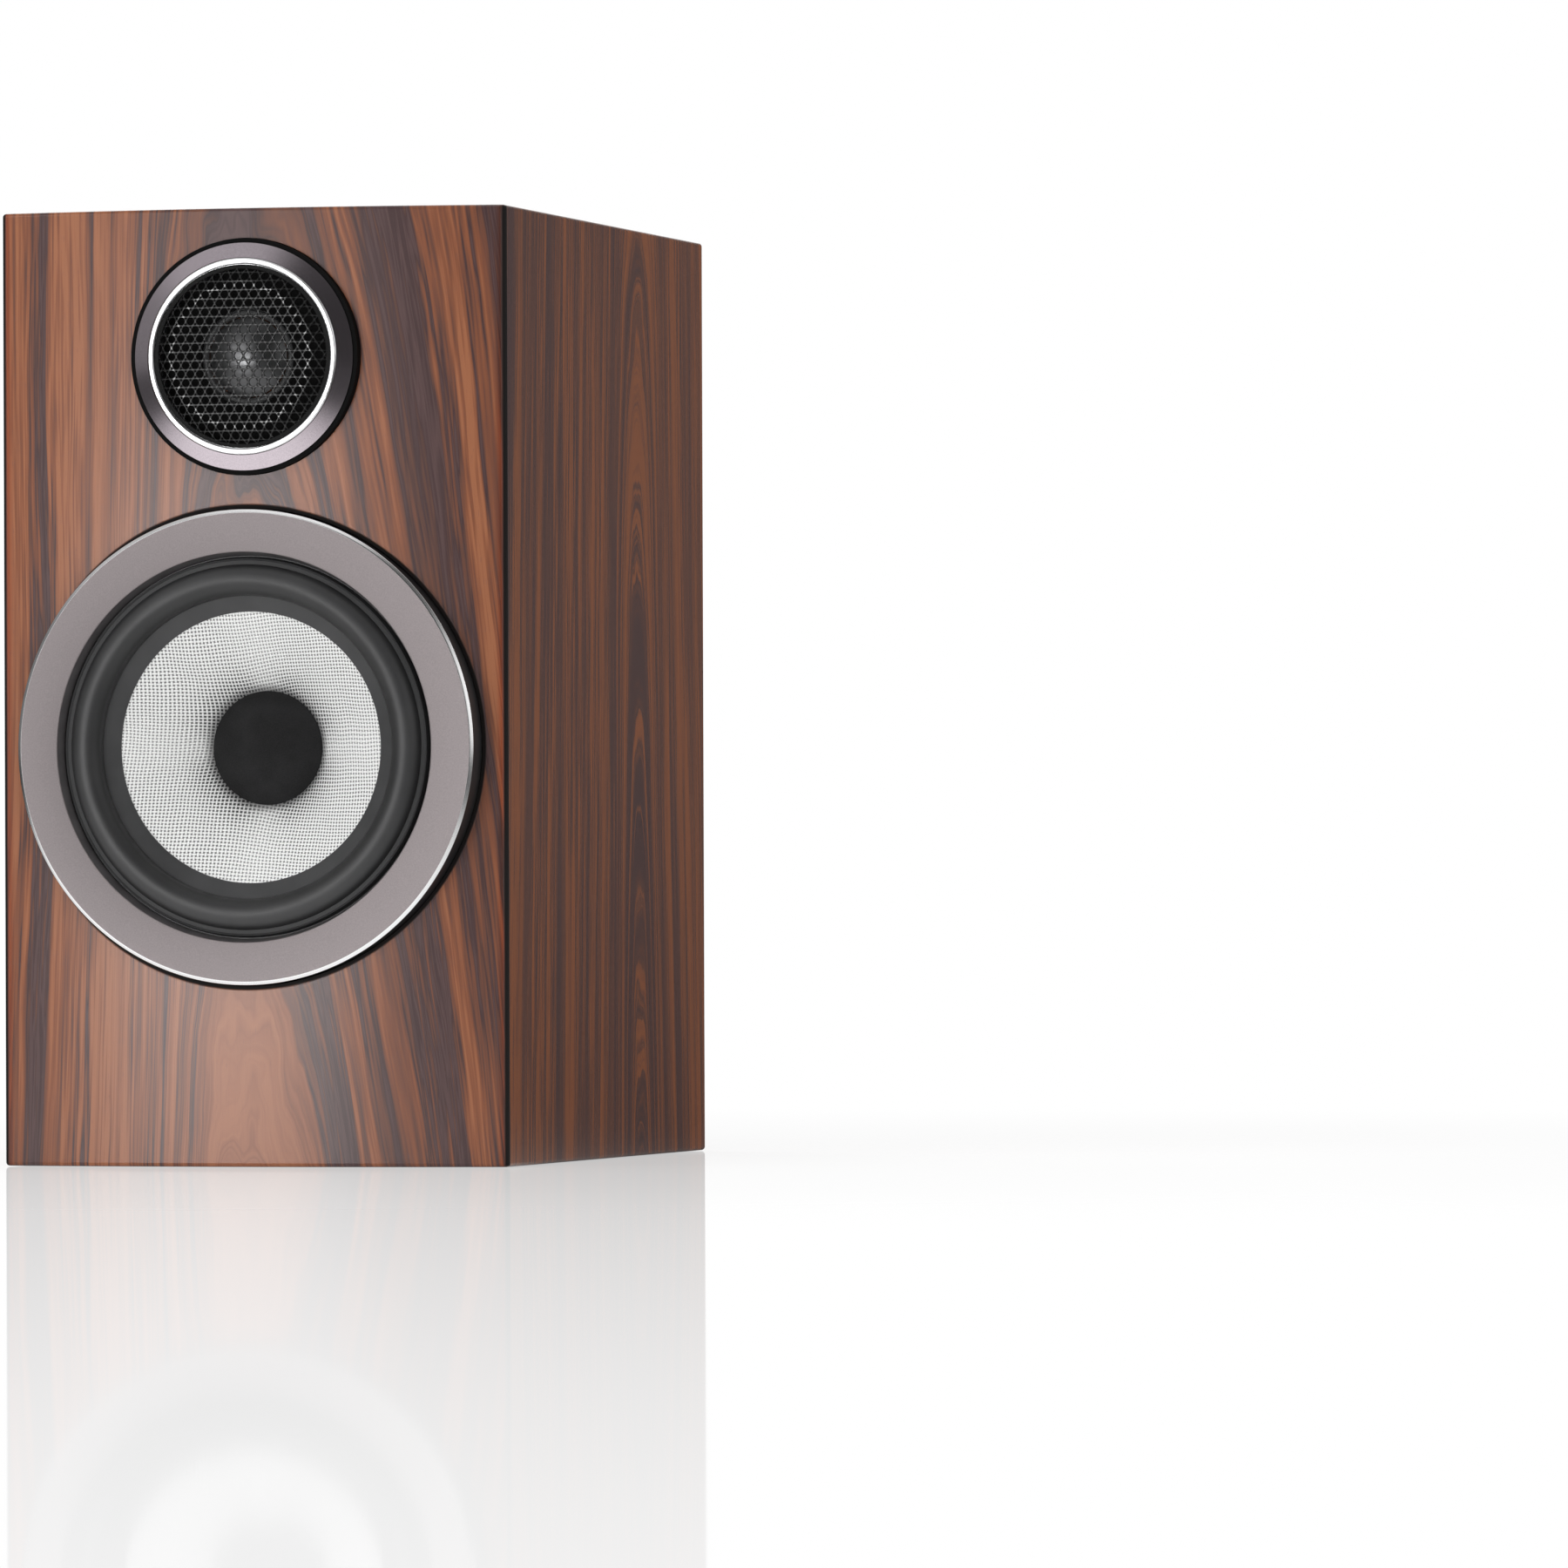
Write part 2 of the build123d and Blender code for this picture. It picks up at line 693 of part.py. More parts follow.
with BuildPart() as woofer_spider:
    # Four shallow corrugations between the former and the basket's ledge.
    spider_inner = former_outer + 0.15
    spider_back = ledge_depth - 0.05
    pleats = 5
    pitch = (spider_radius - ledge_width - spider_inner) / pleats
    crests = [
        (spider_inner + pitch * (step + 0.5), spider_back - (1.6 if step % 2 == 0 else 0.4) - rubber)
        for step in range(pleats)
    ]
    spider_start = (spider_inner, spider_back - rubber - 0.4)
    spider_end = (spider_radius - ledge_width, spider_back - rubber)
    front_line = [spider_start, *crests, spider_end]
    back_line = [(radius, level + rubber) for radius, level in reversed(front_line)]
    outer_edge = [(spider_radius, spider_back - rubber), (spider_radius, spider_back)]
    turn([*front_line, *outer_edge, *back_line], woofer)
save(woofer_spider, "woofer_spider")

with BuildPart() as woofer_top_plate:
    turn(ring(winding_outer + coil_gap, top_plate_radius, motor_depth, magnet_depth), woofer)
save(woofer_top_plate, "woofer_top_plate")

with BuildPart() as woofer_magnet:
    turn(ring(magnet_bore, magnet_radius, magnet_depth, yoke_depth), woofer)
    chamfer(woofer_magnet.edges().filter_by(GeomType.CIRCLE).sort_by(SortBy.RADIUS)[-2:], 1)
save(woofer_magnet, "woofer_magnet")

with BuildPart() as woofer_yoke:
    pole_radius = coil_inner - pole_gap
    yoke_back = yoke_depth + yoke_thick
    turn(
        [
            (vent_radius, motor_depth),
            (pole_radius, motor_depth),
            (pole_radius, yoke_depth),
            (yoke_radius, yoke_depth),
            (yoke_radius - 2, yoke_back),
            (vent_radius + 3, yoke_back),
            (vent_radius, yoke_back - 3),
        ],
        woofer,
    )
save(woofer_yoke, "woofer_yoke")

# --- Tweeter ---------------------------------------------------------------------------------
tweeter = driver_plane(tweeter_height)

with BuildPart() as tweeter_pod:
    turn(
        [
            (bright_outer + trim_clearance, -tweeter_seat_stand),
            (tweeter_trim_outer + trim_clearance, -tweeter_seat_stand),
            (tweeter_trim_outer + trim_clearance, -tweeter_pod_stand),
            (tweeter_pod_radius, -tweeter_pod_stand),
            (tweeter_pod_radius, tweeter_pod_depth),
            (faceplate_hole, tweeter_pod_depth),
            (faceplate_hole, faceplate_depth),
            (bright_outer + trim_clearance, faceplate_depth),
        ],
        tweeter,
    )
save(tweeter_pod, "tweeter_pod")

with BuildPart() as tweeter_trim_ring:
    turn(
        [
            (tweeter_trim_inner, -tweeter_trim_stand - tweeter_trim_rise),
            (tweeter_trim_outer, -tweeter_trim_stand),
            (tweeter_trim_outer, -tweeter_seat_stand),
            (tweeter_trim_inner, -tweeter_seat_stand),
        ],
        tweeter,
    )
save(tweeter_trim_ring, "tweeter_trim_ring")

with BuildPart() as tweeter_bright_ring:
    mesh_seat = mesh_thick - mesh_stand
    turn(
        [
            (bright_inner, -bright_stand),
            (bright_outer, -bright_stand),
            (bright_outer, faceplate_depth),
            (bright_inner - mesh_rim, faceplate_depth),
            (bright_inner - mesh_rim, mesh_seat),
            (bright_inner, mesh_seat),
        ],
        tweeter,
    )
    face_edges = tweeter_bright_ring.edges().filter_by(GeomType.CIRCLE).group_by(Axis.Y)[0]
    fillet(face_edges, 0.6)
save(tweeter_bright_ring, "tweeter_bright_ring")

with BuildPart() as tweeter_mesh:
    # A flat rim, a flank that rounds over into a shoulder, and a shallow crown.
    mesh_radius = bright_inner - mesh_clearance
    shoulder_depth = -mesh_stand - mesh_rise
    crown_depth = shoulder_depth - mesh_crown
    with BuildSketch(tweeter) as guard:
        with BuildLine():
            for level in (0, mesh_thick):
                shoulder = (mesh_shoulder, shoulder_depth + level)
                dome = TangentArc((0, crown_depth + level), shoulder, tangent=(1, 0))
                flank = TangentArc(dome @ 1, (mesh_radius - mesh_rim, level - mesh_stand), tangent=dome % 1)
                Line(flank @ 1, (mesh_radius, level - mesh_stand))
            Line((0, crown_depth), (0, crown_depth + mesh_thick))
            Line((mesh_radius, -mesh_stand), (mesh_radius, mesh_seat))
        make_face()
    revolve(guard.sketch, axis=Axis(tweeter.origin, tweeter.y_dir))
    # Six-sided holes in level rows, cut between three sets of parallel bars.
    columns = 2 * int(mesh_radius / mesh_pitch) + 3
    row_pitch = mesh_pitch * sqrt(3) / 2
    hole_plane = Plane(origin=(0, crest + crown_depth - 1, tweeter_height), x_dir=(0, 0, 1), z_dir=(0, -1, 0))
    with BuildSketch(hole_plane) as holes:
        with HexLocations(mesh_pitch / 2, columns, columns, major_radius=False):
            RegularPolygon((row_pitch - mesh_bar) / 2, 6, major_radius=False, rotation=90)
        Circle(mesh_radius - mesh_rim, mode=Mode.INTERSECT)
    extrude(holes.sketch, amount=crown_depth - 2, mode=Mode.SUBTRACT)
save(tweeter_mesh, "tweeter_mesh")

with BuildPart() as tweeter_faceplate:
    roll_hole = dome_radius + dome_roll_width + 0.5
    recess = dome_radius + dome_roll_width + dome_flange_width + 0.4
    recess_depth = tweeter_plate_depth - 1
    turn(
        [
            (roll_hole, recess_depth - 0.6),
            (flare_mouth, faceplate_depth),
            (faceplate_radius, faceplate_depth),
            (faceplate_radius, tweeter_plate_depth),
            (recess, tweeter_plate_depth),
            (recess, recess_depth),
            (roll_hole, recess_depth),
        ],
        tweeter,
    )
    with BuildSketch(facing(faceplate_depth, tweeter_height)) as head_pockets:
        with screw_places(tweeter_screw_circle, tweeter_screw_count, 90):
            Circle(screw_head_radius + screw_clearance)
    extrude(head_pockets.sketch, amount=-screw_head_height, mode=Mode.SUBTRACT)
    with BuildSketch(facing(faceplate_depth, tweeter_height)) as shank_holes:
        with screw_places(tweeter_screw_circle, tweeter_screw_count, 90):
            Circle(screw_radius + screw_clearance)
    extrude(shank_holes.sketch, amount=-faceplate_thick, mode=Mode.SUBTRACT)
save(tweeter_faceplate, "tweeter_faceplate")

with BuildPart() as tweeter_dome:
    with BuildSketch(tweeter) as dome_profile:
        with BuildLine():
            dome_top = dome_base_depth - dome_rise
            bend = (dome_radius**2 + dome_rise**2) / (2 * dome_rise)
            RadiusArc((dome_radius, dome_base_depth), (0, dome_top), bend)
            Line((0, dome_top), (0, dome_top + dome_skin))
            inner_rim = (dome_radius - dome_skin, dome_base_depth)
            RadiusArc((0, dome_top + dome_skin), inner_rim, -(bend - dome_skin))
            Line(inner_rim, (dome_radius, dome_base_depth))
        make_face()
    revolve(dome_profile.sketch, axis=Axis(tweeter.origin, tweeter.y_dir))
save(tweeter_dome, "tweeter_dome")

with BuildPart() as tweeter_coil:
    coil_start = dome_base_depth + 0.05
    turn(ring(dome_radius - dome_coil_thick, dome_radius, coil_start, coil_start + dome_coil_length), tweeter)
save(tweeter_coil, "tweeter_coil")

with BuildPart() as tweeter_surround:
    with BuildSketch(tweeter) as small_roll:
        with BuildLine():
            flange_start = dome_radius + 0.3 + dome_roll_width
            flange_stop = flange_start + dome_flange_width
            near = tweeter_plate_depth - 0.6
            far = tweeter_plate_depth - 0.1
            inner_edge = dome_radius + 0.3
            middle = (flange_start + inner_edge) / 2
            Polyline((flange_start, near), (flange_stop, near), (flange_stop, far), (flange_start, far))
            ThreePointArc((flange_start, far), (middle, far - dome_roll_rise), (inner_edge, far))
            Line((inner_edge, far), (inner_edge, near))
            ThreePointArc((inner_edge, near), (middle, near - dome_roll_rise), (flange_start, near))
        make_face()
    revolve(small_roll.sketch, axis=Axis(tweeter.origin, tweeter.y_dir))
save(tweeter_surround, "tweeter_surround")

with BuildPart() as tweeter_top_plate:
    turn(
        ring(dome_radius + dome_coil_gap, tweeter_motor_radius, tweeter_plate_depth, tweeter_magnet_depth),
        tweeter,
    )
save(tweeter_top_plate, "tweeter_top_plate")

with BuildPart() as tweeter_magnet:
    turn(ring(tweeter_magnet_bore, tweeter_motor_radius, tweeter_magnet_depth, tweeter_yoke_depth), tweeter)
save(tweeter_magnet, "tweeter_magnet")

with BuildPart() as tweeter_yoke:
    small_pole = dome_radius - dome_coil_thick - dome_coil_gap
    turn(
        [
            (vent_radius, tweeter_plate_depth + 0.5),
            (small_pole, tweeter_plate_depth + 0.5),
            (small_pole, tweeter_yoke_depth),
            (tweeter_motor_radius, tweeter_yoke_depth),
            (tweeter_motor_radius, chamber_depth),
            (vent_radius, chamber_depth),
        ],
        tweeter,
    )
save(tweeter_yoke, "tweeter_yoke")

with BuildPart() as tweeter_tube:
    chamber_end = chamber_depth + chamber_length
    turn(
        [
            (chamber_mouth - chamber_wall, chamber_depth),
            (chamber_flange, chamber_depth),
            (chamber_flange, chamber_depth + chamber_wall),
            (chamber_mouth, chamber_depth + chamber_wall),
            (chamber_tip, chamber_end - chamber_wall),
            (chamber_tip - chamber_wall, chamber_end),
            (0, chamber_end),
            (0, chamber_end - chamber_wall),
            (chamber_tip - chamber_wall, chamber_end - chamber_wall),
        ],
        tweeter,
    )
save(tweeter_tube, "tweeter_tube")

# --- Port ------------------------------------------------------------------------------------
port_plane = axis_plane(rear_face + port_flange_thick, 0, port_height)

with BuildPart() as port_flare:
    with BuildSketch(port_plane) as flare_profile:
        with BuildLine():
            mouth = port_throat + port_round
            under = -port_flange_thick
            bend_middle = -port_round
            spigot_end = -port_round - port_spigot
            outer_bend = port_round - port_wall
            run_out = sqrt(outer_bend**2 - (under - bend_middle) ** 2)
            half_angle = radians(45)
            ThreePointArc(
                (mouth, 0),
                (mouth - port_round * cos(half_angle), bend_middle + port_round * sin(half_angle)),
                (port_throat, bend_middle),
            )
            Polyline(
                (port_throat, bend_middle),
                (port_throat, spigot_end),
                (port_throat + port_wall, spigot_end),
                (port_throat + port_wall, bend_middle),
            )
            ThreePointArc(
                (port_throat + port_wall, bend_middle),
                (mouth - outer_bend * cos(half_angle), bend_middle + outer_bend * sin(half_angle)),
                (mouth - run_out, under),
            )
            Polyline(
                (mouth - run_out, under),
                (port_flange, under),
                (port_flange, -1),
                (port_flange - 1, 0),
                (mouth, 0),
            )
        make_face()
    revolve(flare_profile.sketch, axis=Axis(port_plane.origin, port_plane.y_dir))
save(port_flare, "port_flare")

with BuildPart() as port_tube:
    tube_inner = port_throat + port_wall + port_clearance
    tube_outer = tube_inner + port_tube_wall
    tube_start = bend_middle - 1
    tube_end = tube_start - port_tube_length
    turn(
        [
            (tube_inner, tube_start),
            (tube_outer, tube_start),
            (tube_outer, tube_end + port_lip),
            (tube_outer + port_lip, tube_end),
            (tube_inner + port_lip, tube_end),
            (tube_inner, tube_end + port_lip),
        ],
        port_plane,
    )
save(port_tube, "port_tube")

# --- Terminals -------------------------------------------------------------------------------
with BuildPart() as terminal_gasket:
    with BuildSketch(rear_plane(rear_face, terminal_height)):
        RectangleRounded(plate_width - 2, plate_tall - 2, plate_corner - 1)
        RectangleRounded(terminal_window_width, terminal_window_tall, plate_corner, mode=Mode.SUBTRACT)
        with GridLocations(2 * plate_hole_x, 2 * plate_hole_z, 2, 2):
            Circle(screw_radius + screw_clearance, mode=Mode.SUBTRACT)
    extrude(amount=gasket_thick)
save(terminal_gasket, "terminal_gasket")

with BuildPart() as terminal_plate:
    with BuildSketch(rear_plane(gasket_face, terminal_height)):
        RectangleRounded(plate_width, plate_tall, plate_corner)
        with GridLocations(post_pitch, 1, len(post_places), 1):
            Circle(post_radius + screw_clearance, mode=Mode.SUBTRACT)
        with GridLocations(2 * plate_hole_x, 2 * plate_hole_z, 2, 2):
            Circle(screw_radius + screw_clearance, mode=Mode.SUBTRACT)
    extrude(amount=plate_thick)
    with BuildSketch(rear_plane(plate_face, terminal_height)):
        RectangleRounded(plate_width, plate_tall, plate_corner)
        offset(amount=-plate_rim_width, kind=Kind.ARC, mode=Mode.SUBTRACT)
    extrude(amount=plate_rim)
save(terminal_plate, "terminal_plate")

with BuildPart() as terminal_plate_screws:
    for seat, radius, length in (
        (plate_face, screw_head_radius, screw_head_height),
        (plate_face, screw_radius, -screw_length),
    ):
        with BuildSketch(rear_plane(seat, terminal_height)) as screws:
            with GridLocations(2 * plate_hole_x, 2 * plate_hole_z, 2, 2):
                Circle(radius)
        extrude(screws.sketch, amount=length)
    with BuildSketch(rear_plane(plate_face + screw_head_height, terminal_height)) as sockets:
        with GridLocations(2 * plate_hole_x, 2 * plate_hole_z, 2, 2):
            RegularPolygon(screw_socket, 6)
    extrude(sockets.sketch, amount=-screw_head_height / 2, mode=Mode.SUBTRACT)
save(terminal_plate_screws, "terminal_plate_screws")

with BuildPart() as post_stems:
    with BuildSketch(rear_plane(knob_face, terminal_height)) as stems:
        with GridLocations(post_pitch, 1, len(post_places), 1):
            Circle(post_radius)
    extrude(stems.sketch, amount=gasket_face - post_tail - knob_face)
    with BuildSketch(rear_plane(knob_face, terminal_height)) as banana_sockets:
        with GridLocations(post_pitch, 1, len(post_places), 1):
            Circle(socket_radius)
    extrude(banana_sockets.sketch, amount=-socket_depth, mode=Mode.SUBTRACT)
save(post_stems, "post_stems")

with BuildPart() as post_nuts:
    with BuildSketch(rear_plane(gasket_face, terminal_height)):
        with GridLocations(post_pitch, 1, len(post_places), 1):
            RegularPolygon(nut_across / 2, 6, major_radius=False)
            Circle(post_radius + post_clearance, mode=Mode.SUBTRACT)
    extrude(amount=-nut_thick)
save(post_nuts, "post_nuts")

for side, label in ((-1, "post_collars_negative"), (1, "post_collars_positive")):
    with BuildPart() as post_collars:
        with BuildSketch(rear_plane(plate_face, terminal_height)):
            with Locations((-side * post_pitch, 0)):
                with GridLocations(post_pitch, 1, 2, 1):
                    Circle(collar_radius)
                    Circle(post_radius + post_clearance, mode=Mode.SUBTRACT)
        extrude(amount=collar_thick)
        outside = post_collars.edges().filter_by(GeomType.CIRCLE).group_by(Axis.Y)[-1]
        chamfer(outside.sort_by(SortBy.RADIUS)[-2:], 0.5)
    save(post_collars, label)

with BuildPart() as link_straps:
    with BuildSketch(rear_plane(collar_face, terminal_height)):
        with GridLocations(2 * post_pitch, 1, 2, 1):
            SlotCenterToCenter(post_pitch, strap_width)
        with GridLocations(post_pitch, 1, len(post_places), 1):
            Circle(post_radius + 2 * post_clearance, mode=Mode.SUBTRACT)
    extrude(amount=strap_thick)
save(link_straps, "link_straps")

for number, post_x in enumerate(post_places, start=1):
    with BuildPart() as clamp_washer:
        with BuildSketch(rear_plane(strap_face, terminal_height)):
            with Locations((-post_x, 0)):
                Circle(washer_radius)
                Circle(post_radius + post_clearance, mode=Mode.SUBTRACT)
        extrude(amount=washer_thick)
    save(clamp_washer, f"clamp_washer_{number}")

    with BuildPart() as post_knob:
        with BuildSketch(rear_plane(washer_face, terminal_height)):
            with Locations((-post_x, 0)):
                Circle(knob_radius)
        extrude(amount=knob_length)
        chamfer(post_knob.edges().filter_by(GeomType.CIRCLE), knob_round)
        with BuildSketch(rear_plane(washer_face, terminal_height)) as cuts:
            with Locations((-post_x, 0)):
                Circle(post_radius + post_clearance)
                with PolarLocations(knob_radius + 0.2, knob_flutes):
                    Circle(flute_radius)
        extrude(cuts.sketch, amount=knob_length, mode=Mode.SUBTRACT)
    save(post_knob, f"post_knob_{number}")

# --- Crossover -------------------------------------------------------------------------------
board_bottom = wall + standoff_height
board_top = board_bottom + board_thick
standoff_x = board_width / 2 - standoff_inset
standoff_y = board_length / 2 - standoff_inset

with BuildPart() as crossover_standoffs:
    with BuildSketch(Plane.XY.offset(wall)):
        with Locations((0, board_middle)):
            with GridLocations(2 * standoff_x, 2 * standoff_y, 2, 2):
                Circle(standoff_radius)
    extrude(amount=standoff_height)
save(crossover_standoffs, "crossover_standoffs")

with BuildPart() as crossover_board:
    with BuildSketch(Plane.XY.offset(board_bottom)):
        with Locations((0, board_middle)):
            RectangleRounded(board_width, board_length, 3)
    extrude(amount=board_thick)
save(crossover_board, "crossover_board")

with BuildPart() as inductor_bobbins:
    for coil_x, coil_y, coil_radius, coil_height in coil_sizes:
        for level, radius, rise in (
            (board_top, coil_radius, bobbin_wall),
            (board_top, bobbin_core, coil_height),
            (board_top + coil_height - bobbin_wall, coil_radius, bobbin_wall),
        ):
            with BuildSketch(Plane.XY.offset(level)) as spool:
                with Locations((coil_x, board_middle + coil_y)):
                    Circle(radius)
            extrude(spool.sketch, amount=rise)
        with BuildSketch(Plane.XY.offset(board_top)) as spool_bore:
            with Locations((coil_x, board_middle + coil_y)):
                Circle(bobbin_bore)
        extrude(spool_bore.sketch, amount=coil_height, mode=Mode.SUBTRACT)
save(inductor_bobbins, "inductor_bobbins")

with BuildPart() as inductor_coils:
    for coil_x, coil_y, coil_radius, coil_height in coil_sizes:
        with BuildSketch(Plane.XY.offset(board_top + bobbin_wall + bobbin_clearance)) as wire:
            with Locations((coil_x, board_middle + coil_y)):
                Circle(coil_radius - 1)
                Circle(bobbin_core + bobbin_clearance, mode=Mode.SUBTRACT)
        extrude(wire.sketch, amount=coil_height - 2 * (bobbin_wall + bobbin_clearance))
save(inductor_coils, "inductor_coils")

with BuildPart() as capacitors:
    for can_x, can_y, can_radius, can_length in capacitor_sizes:
        with BuildSketch(Plane.YZ.offset(can_x - can_length / 2)) as can:
            with Locations((board_middle + can_y, board_top + can_radius + 0.05)):
                Circle(can_radius)
        extrude(can.sketch, amount=can_length)
    chamfer(capacitors.edges().filter_by(GeomType.CIRCLE), 1)
save(capacitors, "capacitors")

with BuildPart() as resistors:
    resistor_long, resistor_wide, resistor_tall = resistor_size
    for place_x, place_y in resistor_places:
        with BuildSketch(Plane.XY.offset(board_top)) as block:
            with Locations((place_x, board_middle + place_y)):
                Rectangle(resistor_long, resistor_wide)
        extrude(block.sketch, amount=resistor_tall)
    chamfer(resistors.edges().filter_by(Axis.X).group_by(Axis.Z)[-1], 0.8)
save(resistors, "resistors")
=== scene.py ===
"""Looks of a two-way bookshelf loudspeaker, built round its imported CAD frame.

Frame: metres, +Z up, the front faces -Y. Sizes inside the veneer materials are millimetres.
"""

import math
import random

import bmesh
import bpy
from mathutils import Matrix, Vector
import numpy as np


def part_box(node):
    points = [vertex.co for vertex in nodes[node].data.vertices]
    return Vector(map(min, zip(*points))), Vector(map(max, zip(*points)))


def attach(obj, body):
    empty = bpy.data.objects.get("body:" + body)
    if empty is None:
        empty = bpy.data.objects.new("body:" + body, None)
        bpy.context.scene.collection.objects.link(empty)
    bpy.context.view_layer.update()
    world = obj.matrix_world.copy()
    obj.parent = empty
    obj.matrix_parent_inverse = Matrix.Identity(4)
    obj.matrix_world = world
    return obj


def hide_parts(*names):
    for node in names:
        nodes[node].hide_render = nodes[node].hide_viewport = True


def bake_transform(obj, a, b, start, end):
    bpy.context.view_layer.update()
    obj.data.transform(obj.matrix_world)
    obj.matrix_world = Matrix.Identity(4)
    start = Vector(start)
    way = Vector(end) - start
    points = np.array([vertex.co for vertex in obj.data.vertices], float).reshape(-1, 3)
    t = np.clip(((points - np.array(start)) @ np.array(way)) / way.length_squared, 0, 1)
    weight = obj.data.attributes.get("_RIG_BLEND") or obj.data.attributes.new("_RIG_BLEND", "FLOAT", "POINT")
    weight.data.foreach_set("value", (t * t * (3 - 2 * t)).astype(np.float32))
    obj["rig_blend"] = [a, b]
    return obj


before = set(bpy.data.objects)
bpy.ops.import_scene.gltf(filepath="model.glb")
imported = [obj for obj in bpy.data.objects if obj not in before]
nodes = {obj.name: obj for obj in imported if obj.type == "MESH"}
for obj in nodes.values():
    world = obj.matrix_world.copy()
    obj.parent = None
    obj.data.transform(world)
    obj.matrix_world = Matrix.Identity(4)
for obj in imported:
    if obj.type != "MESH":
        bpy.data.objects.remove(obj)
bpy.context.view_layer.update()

MM = 0.001
cabinet_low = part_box("left_panel")[0]
cabinet_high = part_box("right_panel")[1]

# The cabinet's faces, in millimetres.
cabinet_top = cabinet_high.z / MM
cabinet_side = cabinet_high.x / MM
cabinet_front = cabinet_low.y / MM
cabinet_back = cabinet_high.y / MM


def middle(node):
    """Centre of a CAD node's box."""
    low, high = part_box(node)
    return (low + high) / 2


woofer_axis = middle("woofer_trim_ring")
tweeter_axis = middle("tweeter_trim_ring")
pod_radius = (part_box("woofer_pod")[1].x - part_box("woofer_pod")[0].x) / 2 / MM


# --- Camera ----------------------------------------------------------------------------------
def make_camera():
    """Looks at the front and the right side from the right, level with the lower part."""
    turn, lift, roll = math.radians(14.677), math.radians(-0.041), math.radians(0.2014)
    camera = bpy.data.objects.new("camera", bpy.data.cameras.new("camera"))
    camera.location = (1.09528, -3.64531, 0.08801)
    camera.rotation_euler = (math.pi / 2 + lift, roll, turn)
    camera.data.sensor_width = 36
    camera.data.lens = 270.35
    camera.data.shift_y = 0.06899
    camera.data.clip_start = 0.05
    camera.data.clip_end = 50
    bpy.context.scene.collection.objects.link(camera)
    bpy.context.scene.camera = camera


# --- Nodes -----------------------------------------------------------------------------------
def srgb(red, green, blue):
    """A display colour, 0 to 255 a channel, as linear RGBA."""
    linear = []
    for level in (red, green, blue):
        share = level / 255
        linear.append(share / 12.92 if share <= 0.04045 else ((share + 0.055) / 1.055) ** 2.4)
    return (*linear, 1.0)


